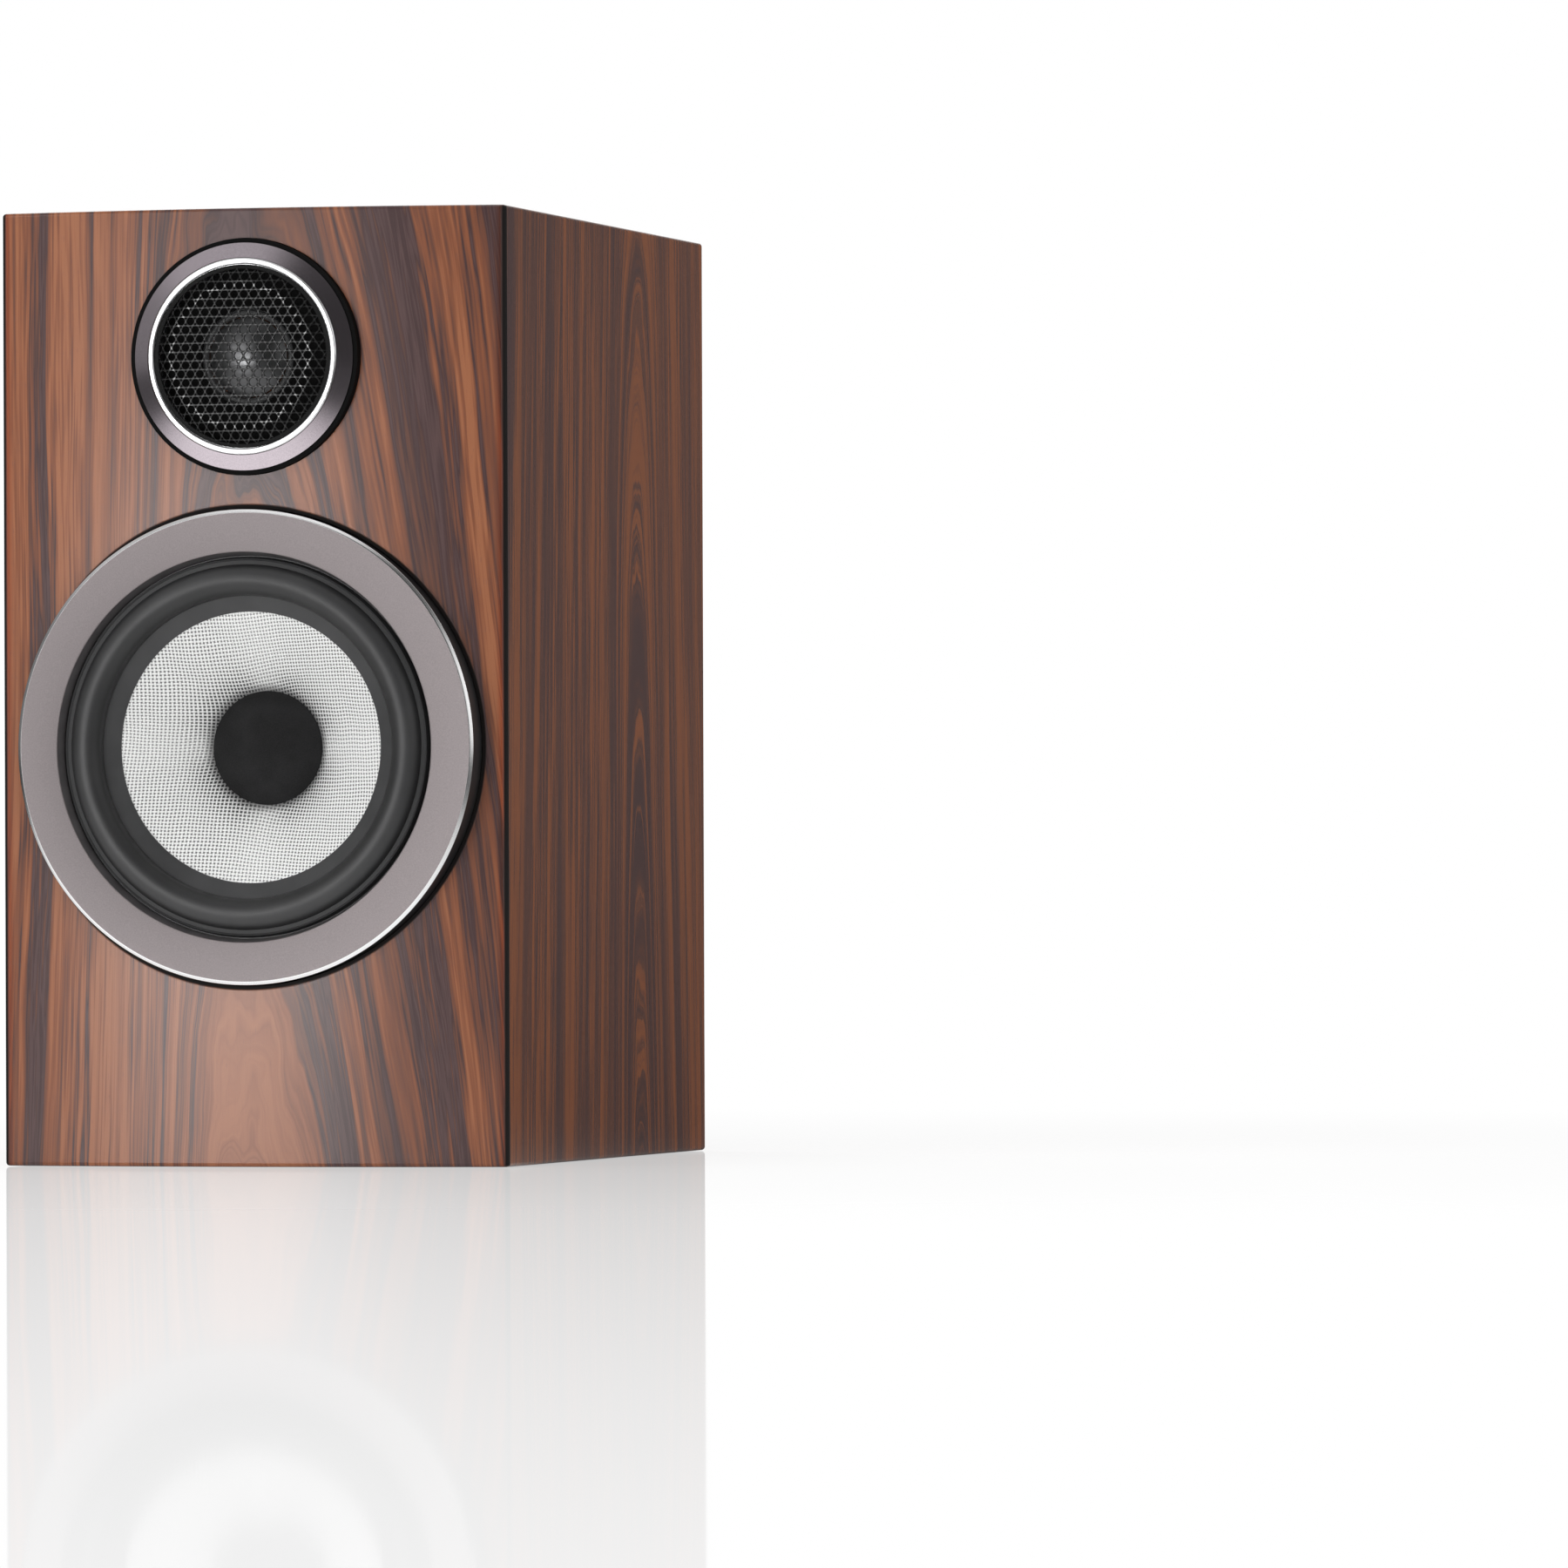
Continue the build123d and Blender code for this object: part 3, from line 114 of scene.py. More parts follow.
class Shader:
    """One material and short calls that add nodes to it and join them."""

    def __init__(self, name, **settings):
        self.material = bpy.data.materials.new(name)
        self.material.use_nodes = True
        self.tree = self.material.node_tree
        self.surface = self.tree.nodes["Principled BSDF"]
        for socket, value in settings.items():
            self.surface.inputs[socket.replace("_", " ").title().replace("Ior", "IOR")].default_value = value
        self.place = self.add("ShaderNodeTexCoord").outputs["Object"]

    def add(self, kind, **settings):
        """A new node with these settings."""
        node = self.tree.nodes.new(kind)
        for name, value in settings.items():
            setattr(node, name, value)
        return node

    def feed(self, value, socket):
        """Join another node's output to a socket, or set the socket to a plain value."""
        if isinstance(value, bpy.types.NodeSocket):
            self.tree.links.new(value, socket)
        else:
            socket.default_value = value

    def math(self, operation, *values, clamp=False):
        node = self.add("ShaderNodeMath", operation=operation, use_clamp=clamp)
        for value, socket in zip(values, node.inputs):
            self.feed(value, socket)
        return node.outputs[0]

    def vector(self, x, y, z):
        node = self.add("ShaderNodeCombineXYZ")
        for value, socket in zip((x, y, z), node.inputs):
            self.feed(value, socket)
        return node.outputs[0]

    def split(self, vector):
        node = self.add("ShaderNodeSeparateXYZ")
        self.feed(vector, node.inputs[0])
        return node.outputs

    def scaled(self, vector, factors):
        node = self.add("ShaderNodeVectorMath", operation="MULTIPLY")
        self.feed(vector, node.inputs[0])
        self.feed(factors, node.inputs[1])
        return node.outputs[0]

    def noise(self, vector, scale=1.0, detail=2.0, roughness=0.5, distortion=0.0):
        node = self.add("ShaderNodeTexNoise")
        self.feed(vector, node.inputs["Vector"])
        for name, value in (
            ("Scale", scale), ("Detail", detail), ("Roughness", roughness), ("Distortion", distortion)
        ):
            node.inputs[name].default_value = value
        return node.outputs["Fac"]

    def ramp(self, value, *stops, smooth=False):
        """Colour or grey level along stops of (position, colour or level)."""
        node = self.add("ShaderNodeValToRGB")
        elements = node.color_ramp.elements
        if smooth:
            node.color_ramp.interpolation = "EASE"
        while len(elements) < len(stops):
            elements.new(0.5)
        for element, (position, colour) in zip(elements, sorted(stops, key=lambda stop: stop[0])):
            element.position = position
            element.color = colour if isinstance(colour, tuple) else (colour, colour, colour, 1)
        self.feed(value, node.inputs[0])
        return node.outputs[0]

    def span(self, value, low, high, to_low=0.0, to_high=1.0, smooth=False):
        """A value's stretch from low to high, carried over to another stretch and clamped."""
        node = self.add("ShaderNodeMapRange")
        if smooth:
            node.interpolation_type = "SMOOTHSTEP"
        for number, socket in zip((low, high, to_low, to_high), list(node.inputs)[1:5]):
            socket.default_value = number
        self.feed(value, node.inputs[0])
        return node.outputs[0]

    def mix(self, share, first, second, blend="MIX"):
        node = self.add("ShaderNodeMix", data_type="RGBA", blend_type=blend)
        node.clamp_factor = True
        share_in, first_in, second_in = node.inputs[0], node.inputs[6], node.inputs[7]
        for value, socket in ((share, share_in), (first, first_in), (second, second_in)):
            self.feed(value, socket)
        return node.outputs[2]

    def bump(self, height, distance, strength=1.0):
        node = self.add("ShaderNodeBump")
        node.inputs["Strength"].default_value = strength
        node.inputs["Distance"].default_value = distance
        self.feed(height, node.inputs["Height"])
        self.feed(node.outputs[0], self.surface.inputs["Normal"])

    def colour(self, value):
        self.feed(value, self.surface.inputs["Base Color"])

    def roughness(self, value):
        self.feed(value, self.surface.inputs["Roughness"])

    def in_millimetres(self):
        """The place on the object: x, y and z in millimetres."""
        return self.split(self.scaled(self.place, (1 / MM,) * 3))

    def distance(self, first, second):
        """Square root of the sum of two squares."""
        squares = self.math("ADD", self.math("MULTIPLY", first, first), self.math("MULTIPLY", second, second))
        return self.math("SQRT", squares)

    def offsets_from(self, axis):
        """How far right of and above a driver's axis, which runs along Y, in millimetres."""
        x, _, z = self.in_millimetres()
        return self.math("SUBTRACT", x, axis.x / MM), self.math("SUBTRACT", z, axis.z / MM)

    def radius_from(self, axis):
        """Distance in millimetres from a driver's axis."""
        return self.distance(*self.offsets_from(axis))


# --- Veneer ----------------------------------------------------------------------------------
SLATE = srgb(70, 50, 50)
CHARCOAL = srgb(88, 65, 64)
UMBER = srgb(94, 62, 52)
CHESTNUT = srgb(112, 69, 52)
RUST = srgb(132, 78, 52)
TAN = srgb(156, 98, 66)
# Painted shade: the dark colour along the rounded edges and round the pod's cut-out, and the warmer, darker
# tint where the sheen falls off over the edges.
PAINTED_EDGE_SHADE = srgb(10, 5, 4)
PAINTED_EDGE_WARM_SHADE = (0.8, 0.46, 0.3, 1)
LACQUER_ROUGHNESS = 0.27
EDGE_SHADE_ROUGHNESS = 0.95

# Where each band of painted shade fades out, in millimetres: in from the edge, and out from the cut-out's
# rim.
EDGE_SHADE_FADE = (0.9, 1.6)
EDGE_WARM_SHADE_FADE = (1.4, 3.8)
CUT_SHADE_FADE = (0.7, 1.3)


def veneer(
    name, across, along, pith, flat, tilt, still, scales, band, sway, palette, seed, lean,
    heart=0.0, thick=None, edges=None, cut=None,
):
    """Rosewood: growth rings cut at a slight angle, so that they open out like a tall arch.

    across and along are the axes, 0 to 2, that the grain crosses and follows. The arch stands over
    pith, flat is how wide its tip is and tilt how fast it opens. Its legs run straight from still,
    the offsets to the left and the right, outwards. The scales say how close the rings lie on the
    two sides, band is the width of the bands, and sway how far the lines wander. lean is how the
    tone drifts from one side to the other: two offsets and two tones. palette has the colours along
    the tone, and seed picks another stretch of the same grain. heart is how much quieter the
    middle is. thick is the panel's middle plane and half its thickness, with which the grain turns
    round its edges. edges are the places where the veneer rounds over; along them lies a dark band
    of painted shade. On a panel with edges, cut is the axis and the radius of a cut-out: a ring of
    painted shade lies round its rim too, and in from the panel's edges lies a warmer, darker band
    of painted shade, where the sheen falls off over the rounded edge.
    """
    shader = Shader(name, roughness=LACQUER_ROUGHNESS)
    place = shader.in_millimetres()
    side, rise = place[across], place[along]
    if thick:
        outward = shader.math("ABSOLUTE", shader.math("SUBTRACT", place[3 - across - along], thick[0]))
        side = shader.math("ADD", side, shader.math("SUBTRACT", outward, thick[1]))
    drop = shader.math("SUBTRACT", cabinet_top, rise)

    def field(width, height, shift, detail=2.0, roughness=0.5):
        parts = shader.math("DIVIDE", side, width), shader.math("DIVIDE", drop, height), seed + shift
        return shader.noise(shader.vector(*parts), detail=detail, roughness=roughness)

    offset = shader.math("SUBTRACT", side, pith)
    offset = shader.math("ADD", offset, shader.span(field(70, 260, 0, 1), 0.25, 0.75, -sway, sway))
    offset = shader.math("ADD", offset, shader.span(field(14, 110, 1), 0.25, 0.75, -sway / 6, sway / 6))
    scale = shader.span(offset, -20, 28, *scales, smooth=True)
    spread = shader.math("MULTIPLY", offset, scale)
    radius = shader.math("SQRT", shader.math("ADD", shader.math("MULTIPLY", spread, spread), flat * flat))
    left = shader.span(offset, still[0], -4, 0.1, 1, smooth=True)
    right = shader.span(offset, 4, still[1], 1, 0.1, smooth=True)
    opening = shader.math("MULTIPLY", shader.math("MULTIPLY", left, right), tilt)
    near_pith = shader.span(shader.math("ABSOLUTE", offset), 0, 32, 1, 0, smooth=True)
    flame = shader.math("MULTIPLY", shader.span(field(11, 34, 4), 0.25, 0.75, -sway, sway), near_pith)
    ring = shader.math("ADD", shader.math("SUBTRACT", radius, shader.math("MULTIPLY", drop, opening)), flame)

    def rings(width, length, shift, detail=1.0, roughness=0.4):
        parts = (
            shader.math("DIVIDE", ring, width),
            shader.math("DIVIDE", side, 240),
            shader.math("ADD", shader.math("DIVIDE", drop, length), seed + shift),
        )
        grey = shader.noise(shader.vector(*parts), detail=detail, roughness=roughness)
        return shader.span(grey, 0.3, 0.7)

    def swing(layer, weight):
        return shader.math("MULTIPLY", shader.math("SUBTRACT", layer, 0.5), weight)

    # Broad zones and bands carry the tone; fine lines come and go over them.
    tone = shader.math("ADD", shader.span(side, *lean), swing(rings(band * 3, 700, 0, 1), 0.36))
    tone = shader.math("ADD", tone, swing(rings(band, 420, 2, 2, 0.5), 0.66))
    fine = shader.math(
        "ADD",
        swing(rings(band * 0.26, 150, 4, 2, 0.55), 0.36),
        swing(rings(band * 0.12, 30, 6, 2), 0.34),
    )
    busy = shader.span(rings(band * 1.6, 200, 8), 0.15, 0.85, 0.45, 1.4)
    tone = shader.math("ADD", tone, shader.math("MULTIPLY", fine, busy))
    # The flat-sawn middle is quieter, and lighter towards the foot.
    quiet = shader.math("ADD", shader.math("MULTIPLY", tone, 0.4), shader.span(drop, 60, 280, 0.04, 0.52))
    calm = shader.math("MULTIPLY", near_pith, heart)
    lively = shader.math("MULTIPLY", tone, shader.math("SUBTRACT", 1, calm))
    tone = shader.math("ADD", lively, shader.math("MULTIPLY", quiet, calm))
    base = shader.ramp(tone, *palette)
    fibre = field(0.45, 18, 5, 3)
    pores = shader.span(field(0.25, 3.5, 7, 1), 0.66, 0.74)
    base = shader.mix(1.0, base, shader.ramp(fibre, (0.3, 0.93), (0.7, 1.0)), "MULTIPLY")
    base = shader.mix(shader.math("MULTIPLY", pores, 0.3), base, CHARCOAL)
    # Painted shade: a dark band along the rounded edges and round the cut-out's rim, where shade falls in the
    # joints and in the gap round the pod, with rougher lacquer there.
    if edges:
        inward = shader.math(
            "MINIMUM", shader.math("SUBTRACT", side, edges[0]), shader.math("SUBTRACT", edges[1], side)
        )
        painted_shade_mask = shader.span(inward, *EDGE_SHADE_FADE, 1, 0)
        if cut:
            cut_axis, cut_radius = cut
            fade = [cut_radius + margin for margin in CUT_SHADE_FADE]
            shade_round_cut = shader.span(shader.radius_from(cut_axis), *fade, 1, 0)
            painted_shade_mask = shader.math("MAXIMUM", painted_shade_mask, shade_round_cut)
            # Painted shade: the front darkens to a warmer tone in from its edges, where the sheen falls off
            # over the rounded edge.
            painted_light_share = shader.span(inward, *EDGE_WARM_SHADE_FADE, 1, 0, smooth=True)
            base = shader.mix(painted_light_share, base, PAINTED_EDGE_WARM_SHADE, "MULTIPLY")
        base = shader.mix(painted_shade_mask, base, PAINTED_EDGE_SHADE)
        shader.roughness(shader.span(painted_shade_mask, 0, 1, LACQUER_ROUGHNESS, EDGE_SHADE_ROUGHNESS))
    shader.colour(base)
    shader.bump(shader.math("SUBTRACT", fibre, pores), 0.00002, 0.3)
    return shader.material


# Places along the tone, and the colours there.
FRONT_TONES = (
    (0.10, SLATE), (0.24, CHARCOAL), (0.33, SLATE), (0.40, UMBER),
    (0.49, CHESTNUT), (0.62, RUST), (0.84, TAN),
)
SIDE_TONES = (
    (0.28, srgb(84, 64, 62)), (0.46, srgb(100, 70, 61)), (0.60, srgb(114, 76, 61)), (0.78, srgb(138, 86, 60)),
)


def dress(material, *names):
    """Give CAD nodes a material."""
    for name in names:
        mesh = nodes[name].data
        mesh.materials.clear()
        mesh.materials.append(material)


def dress_cabinet():
    """Front, sides, and top and bottom, each cut from its own leaf of veneer."""
    pod_gap = 0.4
    front = veneer(
        "rosewood_front", across=0, along=2, pith=-3, flat=14, tilt=0.2, still=(-48, 160), scales=(1.3, 0.8),
        band=8, sway=4, palette=FRONT_TONES, seed=21.0, lean=(-60, 60, 0.56, 0.42), heart=0.85,
        edges=(-cabinet_side, cabinet_side), cut=(woofer_axis, pod_radius + pod_gap),
    )
    dress(front, "front_baffle")
    past_back = 9  # the painted shade's back edge lies this far behind the sides, so their backs have none
    sides = veneer(
        "rosewood_side", across=1, along=2, pith=37, flat=7, tilt=0.4, still=(-34, 34), scales=(1.0, 1.1),
        band=8, sway=2.5, palette=SIDE_TONES, seed=11.0, lean=(-90, 90, 0.52, 0.52),
        thick=(0, cabinet_side), edges=(cabinet_front, cabinet_back + past_back),
    )
    dress(sides, "left_panel", "right_panel")
    ends = veneer(
        "rosewood_ends", across=1, along=0, pith=20, flat=8, tilt=0.2, still=(-40, 60), scales=(1.0, 0.9),
        band=8, sway=3, palette=SIDE_TONES, seed=19.0, lean=(-90, 90, 0.52, 0.52),
        thick=(cabinet_top / 2, cabinet_top / 2),
    )
    dress(ends, "top_panel", "bottom_panel")


# --- Plain materials -------------------------------------------------------------------------
def grainy(name, colour, roughness, grain, depth, spread=0.12, metallic=0.0, **settings):
    """A moulded, cast or coated surface: even colour, faint mottling and a fine relief."""
    shader = Shader(name, metallic=metallic, **settings)
    fine = shader.noise(shader.place, 1 / (grain * MM), 2.5, 0.6)
    broad = shader.noise(shader.place, 1 / (grain * 25 * MM), 2)
    dark = tuple(level * (1 - spread) for level in colour[:3]) + (1,)
    light = tuple(min(1, level * (1 + spread)) for level in colour[:3]) + (1,)
    shader.colour(shader.ramp(broad, (0.35, dark), (0.65, light)))
    shader.roughness(shader.span(fine, 0.3, 0.7, roughness * 0.93, min(1, roughness * 1.07)))
    shader.bump(fine, depth * MM)
    return shader.material


def ring_metal(name, axis, rim, colour, rim_colour, roughness, dish=0.0):
    """Satin trim ring with a polished outer bevel that starts at radius rim, in millimetres.

    dish is the slope by which its face is turned hollow.
    """
    shader = Shader(name, metallic=1.0)
    radius = shader.radius_from(axis)
    on_rim = shader.span(radius, rim - 0.05, rim + 0.05)
    speck = shader.noise(shader.place, 2500, 1)
    satin = shader.mix(shader.span(speck, 0.3, 0.7, 0, 0.12), colour, (0.02, 0.02, 0.02, 1))
    shader.colour(shader.mix(on_rim, satin, rim_colour))
    shader.roughness(shader.span(on_rim, 0, 1, roughness, 0.22))
    hollow = shader.math("MULTIPLY", shader.math("MINIMUM", radius, rim), dish * MM)
    shader.bump(shader.math("ADD", hollow, shader.math("MULTIPLY", speck, 0.0000016)), 1.0)
    return shader.material


def cone_weave():
    """Plain weave of silver-white yarns, one up and one down, with painted highlights on the yarns' crowns
    and painted shade towards the plug.
    """
    shader = Shader("woven_cone_cloth", roughness=0.36)
    pitch = 1.1
    across, up = shader.offsets_from(woofer_axis)
    radius = shader.distance(across, up)
    # The cloth is pulled into the cone, which shears its yarns between the two straight directions.
    product = shader.math("MULTIPLY", across, up)
    shear = shader.math("DIVIDE", product, shader.math("MULTIPLY", radius, radius))
    open_weave = shader.span(shader.math("ABSOLUTE", shear), 0.02, 0.4, 0.35, 1.0, smooth=True)
    pulled = shader.math("MULTIPLY", shear, 3.0)
    wander = shader.math("MULTIPLY", shader.math("SUBTRACT", shader.noise(shader.place, 60, 1), 0.5), 1.6)
    turn = math.pi / pitch

    def yarns(offset, pull):
        """Height, -1 to 1, of the yarns that lie side by side along an offset."""
        placed = shader.math("ADD", shader.math(pull, offset, pulled), wander)
        return shader.math("SINE", shader.math("MULTIPLY", placed, turn))

    warp, weft = yarns(across, "ADD"), yarns(up, "SUBTRACT")
    cross = shader.math("MULTIPLY", shader.math("MULTIPLY", warp, weft), 0.5)
    warp_crown, weft_crown = shader.math("ABSOLUTE", warp), shader.math("ABSOLUTE", weft)
    relief = shader.math(
        "MAXIMUM", shader.math("ADD", warp_crown, cross), shader.math("SUBTRACT", weft_crown, cross)
    )
    # Painted shade towards the plug, where the cone runs deepest: the holes grow larger and darker there.
    near_plug = shader.span(radius, 18.5, 30, 1, 0, smooth=True)
    crown = shader.math("MAXIMUM", warp_crown, weft_crown)
    crown = shader.math("SUBTRACT", crown, shader.math("MULTIPLY", near_plug, 0.2))
    hole = shader.span(crown, 0.5, 0.85, 1, 0)
    fibres = shader.noise(shader.scaled(shader.place, (900,) * 3), 1, 3)
    # Painted highlight and shade on the weave: the yarns' crowns are lighter and the dips between them
    # darker.
    tone = shader.ramp(relief, (0.5, srgb(162, 162, 162)), (1.0, srgb(250, 250, 249)))
    tone = shader.mix(shader.span(fibres, 0.35, 0.7, 0, 0.12), tone, srgb(170, 170, 170))
    depth = shader.math("MULTIPLY", open_weave, shader.span(near_plug, 0, 1, 0.62, 1.0))
    tone = shader.mix(shader.math("MULTIPLY", hole, depth), tone, srgb(38, 38, 39))
    # A dark ring of painted shadow round the plug.
    shade = shader.span(radius, 17.6, 21.0, 0.75, 0, smooth=True)
    shader.colour(shader.mix(shade, tone, srgb(26, 26, 27)))
    shader.bump(relief, 0.00016, 0.9)
    return shader.material


def wire_winding(name, colour, axis, turn_pitch):
    """Enamelled wire wound in even turns along an axis, 0 to 2."""
    shader = Shader(name, metallic=0.9, roughness=0.32)
    along = shader.in_millimetres()[axis]
    turns = shader.math("SINE", shader.math("MULTIPLY", along, 2 * math.pi / turn_pitch))
    # Painted shade: the colour darkens in the grooves between the turns.
    dark = tuple(level * 0.45 for level in colour[:3]) + (1,)
    shader.colour(shader.ramp(shader.span(turns, -1, 1), (0.1, dark), (0.6, colour)))
    shader.bump(turns, 0.0001)
    return shader.material


def corrugated_cloth(name, colour):
    """Resin-treated open cloth."""
    shader = Shader(name, roughness=0.75)
    weave_rate = 7.0  # radians of the weave to a millimetre
    x, _, z = shader.in_millimetres()
    threads = shader.math(
        "MAXIMUM",
        shader.math("SINE", shader.math("MULTIPLY", x, weave_rate)),
        shader.math("SINE", shader.math("MULTIPLY", z, weave_rate)),
    )
    dark = tuple(level * 0.5 for level in colour[:3]) + (1,)
    shader.colour(shader.ramp(shader.span(threads, -1, 1), (0.3, dark), (0.8, colour)))
    shader.bump(threads, 0.00008)
    return shader.material


def fibre_fleece(name):
    """Loose white polyester wadding."""
    shader = Shader(name, roughness=0.95, sheen_weight=0.4)
    strands = shader.noise(shader.place, 420, 6, 0.7, 1.5)
    shader.colour(shader.ramp(strands, (0.35, srgb(176, 176, 170)), (0.6, srgb(236, 236, 232))))
    shader.bump(strands, 0.0012, 0.8)
    return shader.material


def board_core():
    """Bare fibreboard."""
    shader = Shader("fibreboard", roughness=0.85)
    flecks = shader.noise(shader.place, 1400, 4, 0.7)
    shader.colour(shader.ramp(flecks, (0.35, srgb(176, 140, 104)), (0.65, srgb(206, 172, 132))))
    shader.bump(flecks, 0.00008)
    return shader.material


def rubber(name, axis):
    """Matte black rubber with a faint bloom, and painted shade across the roll: darkest in the inner valley,
    lighter over the crest, darker on its outer side, and full tone on the flange and the lip.
    """
    shader = Shader(name, roughness=0.5, specular_ior_level=0.65)
    bloom = shader.noise(shader.place, 90, 3)
    grain = shader.noise(shader.place, 3500, 2)
    base = shader.ramp(bloom, (0.35, srgb(49, 49, 50)), (0.65, srgb(56, 56, 57)))
    ramp_start, ramp_end = 40, 60  # millimetres from the axis
    # Painted shade across the roll, as a share of the colour by radius.
    roll_shade = shader.ramp(
        shader.span(shader.radius_from(axis), ramp_start, ramp_end),
        (0.36, 1.0), (0.40, 0.25), (0.46, 0.35), (0.55, 0.45), (0.65, 0.75),
        (0.75, 0.7), (0.84, 0.5), (0.91, 0.6), (0.94, 1.0),
    )
    shader.colour(shader.mix(1.0, base, roll_shade, "MULTIPLY"))
    shader.roughness(shader.span(grain, 0.3, 0.7, 0.44, 0.54))
    shader.bump(grain, 0.00001, 0.5)
    return shader.material


NO_BEVEL = 99  # a radius beyond any ring


def dress_rest():
    """Everything that keeps its CAD form, apart from the cabinet."""
    dress(board_core(), "window_brace")
    dress(grainy("rear_black", srgb(38, 37, 37), 0.55, 0.3, 0.02), "rear_panel")
    dress(grainy("port_black", srgb(34, 34, 35), 0.42, 0.25, 0.012), "port_flare", "port_tube")
    dress(grainy("plate_black", srgb(36, 36, 37), 0.5, 0.35, 0.03), "terminal_plate")
    dress(grainy("foam_black", srgb(46, 46, 46), 0.9, 0.3, 0.08), "terminal_gasket", "woofer_gasket")
    dress(grainy("screw_black", srgb(40, 40, 41), 0.35, 0.5, 0.004, metallic=0.7), "driver_screws",
          "terminal_plate_screws")
    gold = grainy("gold_plate", (0.83, 0.6, 0.28, 1), 0.22, 0.6, 0.003, 0.04, 1.0)
    dress(gold, "post_stems", "post_nuts", "link_straps", *(f"clamp_washer_{n}" for n in range(1, 5)),
          *(f"post_knob_{n}" for n in range(1, 5)))
    dress(grainy("collar_red", srgb(170, 22, 24), 0.28, 0.4, 0.004, 0.06), "post_collars_positive")
    dress(grainy("collar_black", srgb(28, 28, 28), 0.28, 0.4, 0.004), "post_collars_negative")
    dress(grainy("solder_mask", srgb(22, 84, 52), 0.35, 0.8, 0.01), "crossover_board")
    dress(grainy("film_yellow", srgb(196, 160, 60), 0.3, 0.8, 0.01), "capacitors")
    dress(grainy("ceramic_white", srgb(226, 224, 218), 0.6, 0.3, 0.02, 0.03), "resistors")
    dress(grainy("bobbin_black", srgb(44, 44, 46), 0.5, 0.4, 0.01), "inductor_bobbins")
    copper = (0.72, 0.33, 0.16, 1)
    dress(wire_winding("coil_copper", copper, 2, 1.0), "inductor_coils")
    dress(wire_winding("voice_copper", copper, 1, 0.35), "voice_coil_winding", "tweeter_coil")
    dress(grainy("zinc", (0.55, 0.56, 0.58, 1), 0.38, 0.5, 0.006, 0.08, 1.0), "crossover_standoffs",
          "woofer_top_plate", "woofer_yoke", "tweeter_top_plate", "tweeter_yoke", "grille_magnets")
    dress(grainy("ferrite_dark", srgb(62, 62, 64), 0.6, 0.3, 0.02), "woofer_magnet", "tweeter_magnet")
    dress(grainy("cast_black", srgb(50, 50, 52), 0.5, 0.4, 0.03), "woofer_basket")
    dress(grainy("pod_black", srgb(36, 36, 37), 0.4, 0.3, 0.004), "woofer_pod")
    dress(grainy("felt_black", (0.002, 0.0019, 0.0019, 1), 0.8, 0.3, 0.01, specular_ior_level=0.15),
          "tweeter_pod", "tweeter_faceplate", "tweeter_tube")
    satin, polished = (0.68, 0.6, 0.65, 1), (0.9, 0.9, 0.9, 1)
    tweeter_metal = ring_metal("tweeter_ring_satin", tweeter_axis, NO_BEVEL, satin, polished, 0.21)
    dress(tweeter_metal, "tweeter_trim_ring")
    dress(grainy("bright_silver", (0.92, 0.92, 0.93, 1), 0.3, 0.4, 0.002, 0.01, 1.0), "tweeter_bright_ring")
    dress(cone_weave(), "woofer_cone")
    dress(grainy("plug_foam", srgb(21, 21, 22), 0.9, 0.35, 0.08, 0.3), "woofer_plug")
    dress(grainy("former_amber", srgb(170, 110, 52), 0.4, 0.3, 0.004), "voice_coil_former")
    dress(grainy("dome_silver", (0.24, 0.24, 0.245, 1), 0.34, 0.3, 0.004, 0.03, 1.0), "tweeter_dome")


# --- Pieces that bend or are soft ------------------------------------------------------------
def add_piece(name, mesh):
    """A new object in the scene."""
    piece = bpy.data.objects.new(name, mesh)
    bpy.context.scene.collection.objects.link(piece)
    return piece


def copied(node, name):
    """A new piece with a CAD node's form."""
    piece = add_piece(name, nodes[node].data.copy())
    piece.data.materials.clear()
    return piece


def bend_between(piece, moving, axis, still_radius, moving_radius):
    """Let a ring bend along its radius: still on the frame outside, moving with the cone inside."""
    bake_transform(piece, "root", moving, start=(axis.x, 0, axis.z), end=(axis.x, 0, axis.z + MM))
    weights = piece.data.attributes["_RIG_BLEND"].data
    for vertex, weight in zip(piece.data.vertices, weights):
        radius = math.hypot(vertex.co.x - axis.x, vertex.co.z - axis.z) / MM
        share = min(1, max(0, (still_radius - radius) / (still_radius - moving_radius)))
        weight.value = share * share * (3 - 2 * share)


def make_suspensions():
    """The two surrounds and the spider, which bend as the cone and the dome move."""
    black = rubber("surround_black", woofer_axis)
    for node, name, moving, axis, still, moved, material, slot in (
        ("woofer_surround", "woofer_surround_roll", "woofer_moving", woofer_axis, 57.4, 47.6, black,
         "surround_rubber"),
        ("woofer_spider", "woofer_spider_cloth", "woofer_moving", woofer_axis, 35.0, 16.2,
         corrugated_cloth("spider_cloth_tan", srgb(196, 160, 92)), "spider_cloth"),
        ("tweeter_surround", "tweeter_surround_roll", "tweeter_moving", tweeter_axis, 15.0, 12.8, black,
         "surround_rubber"),
    ):
        piece = copied(node, name)
        piece.data.materials.append(material)
        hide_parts(node)
        bend_between(piece, moving, axis, still, moved)


def revolve(net, outline, axis, front, around):
    """Turn an outline of (radius, depth behind front) round a driver's axis.

    Gives each new face with the number of the outline's edge that it comes from.
    """
    loops = []
    for step in range(around):
        turn = 2 * math.pi * step / around
        loops.append([
            net.verts.new((
                axis.x + radius * math.cos(turn) * MM,
                front + depth * MM,
                axis.z + radius * math.sin(turn) * MM,
            ))
            for radius, depth in outline
        ])
    for one, other in zip(loops, loops[1:] + loops[:1]):
        for k in range(len(outline)):
            n = (k + 1) % len(outline)
            yield k, net.faces.new((one[k], one[n], other[n], other[k]))


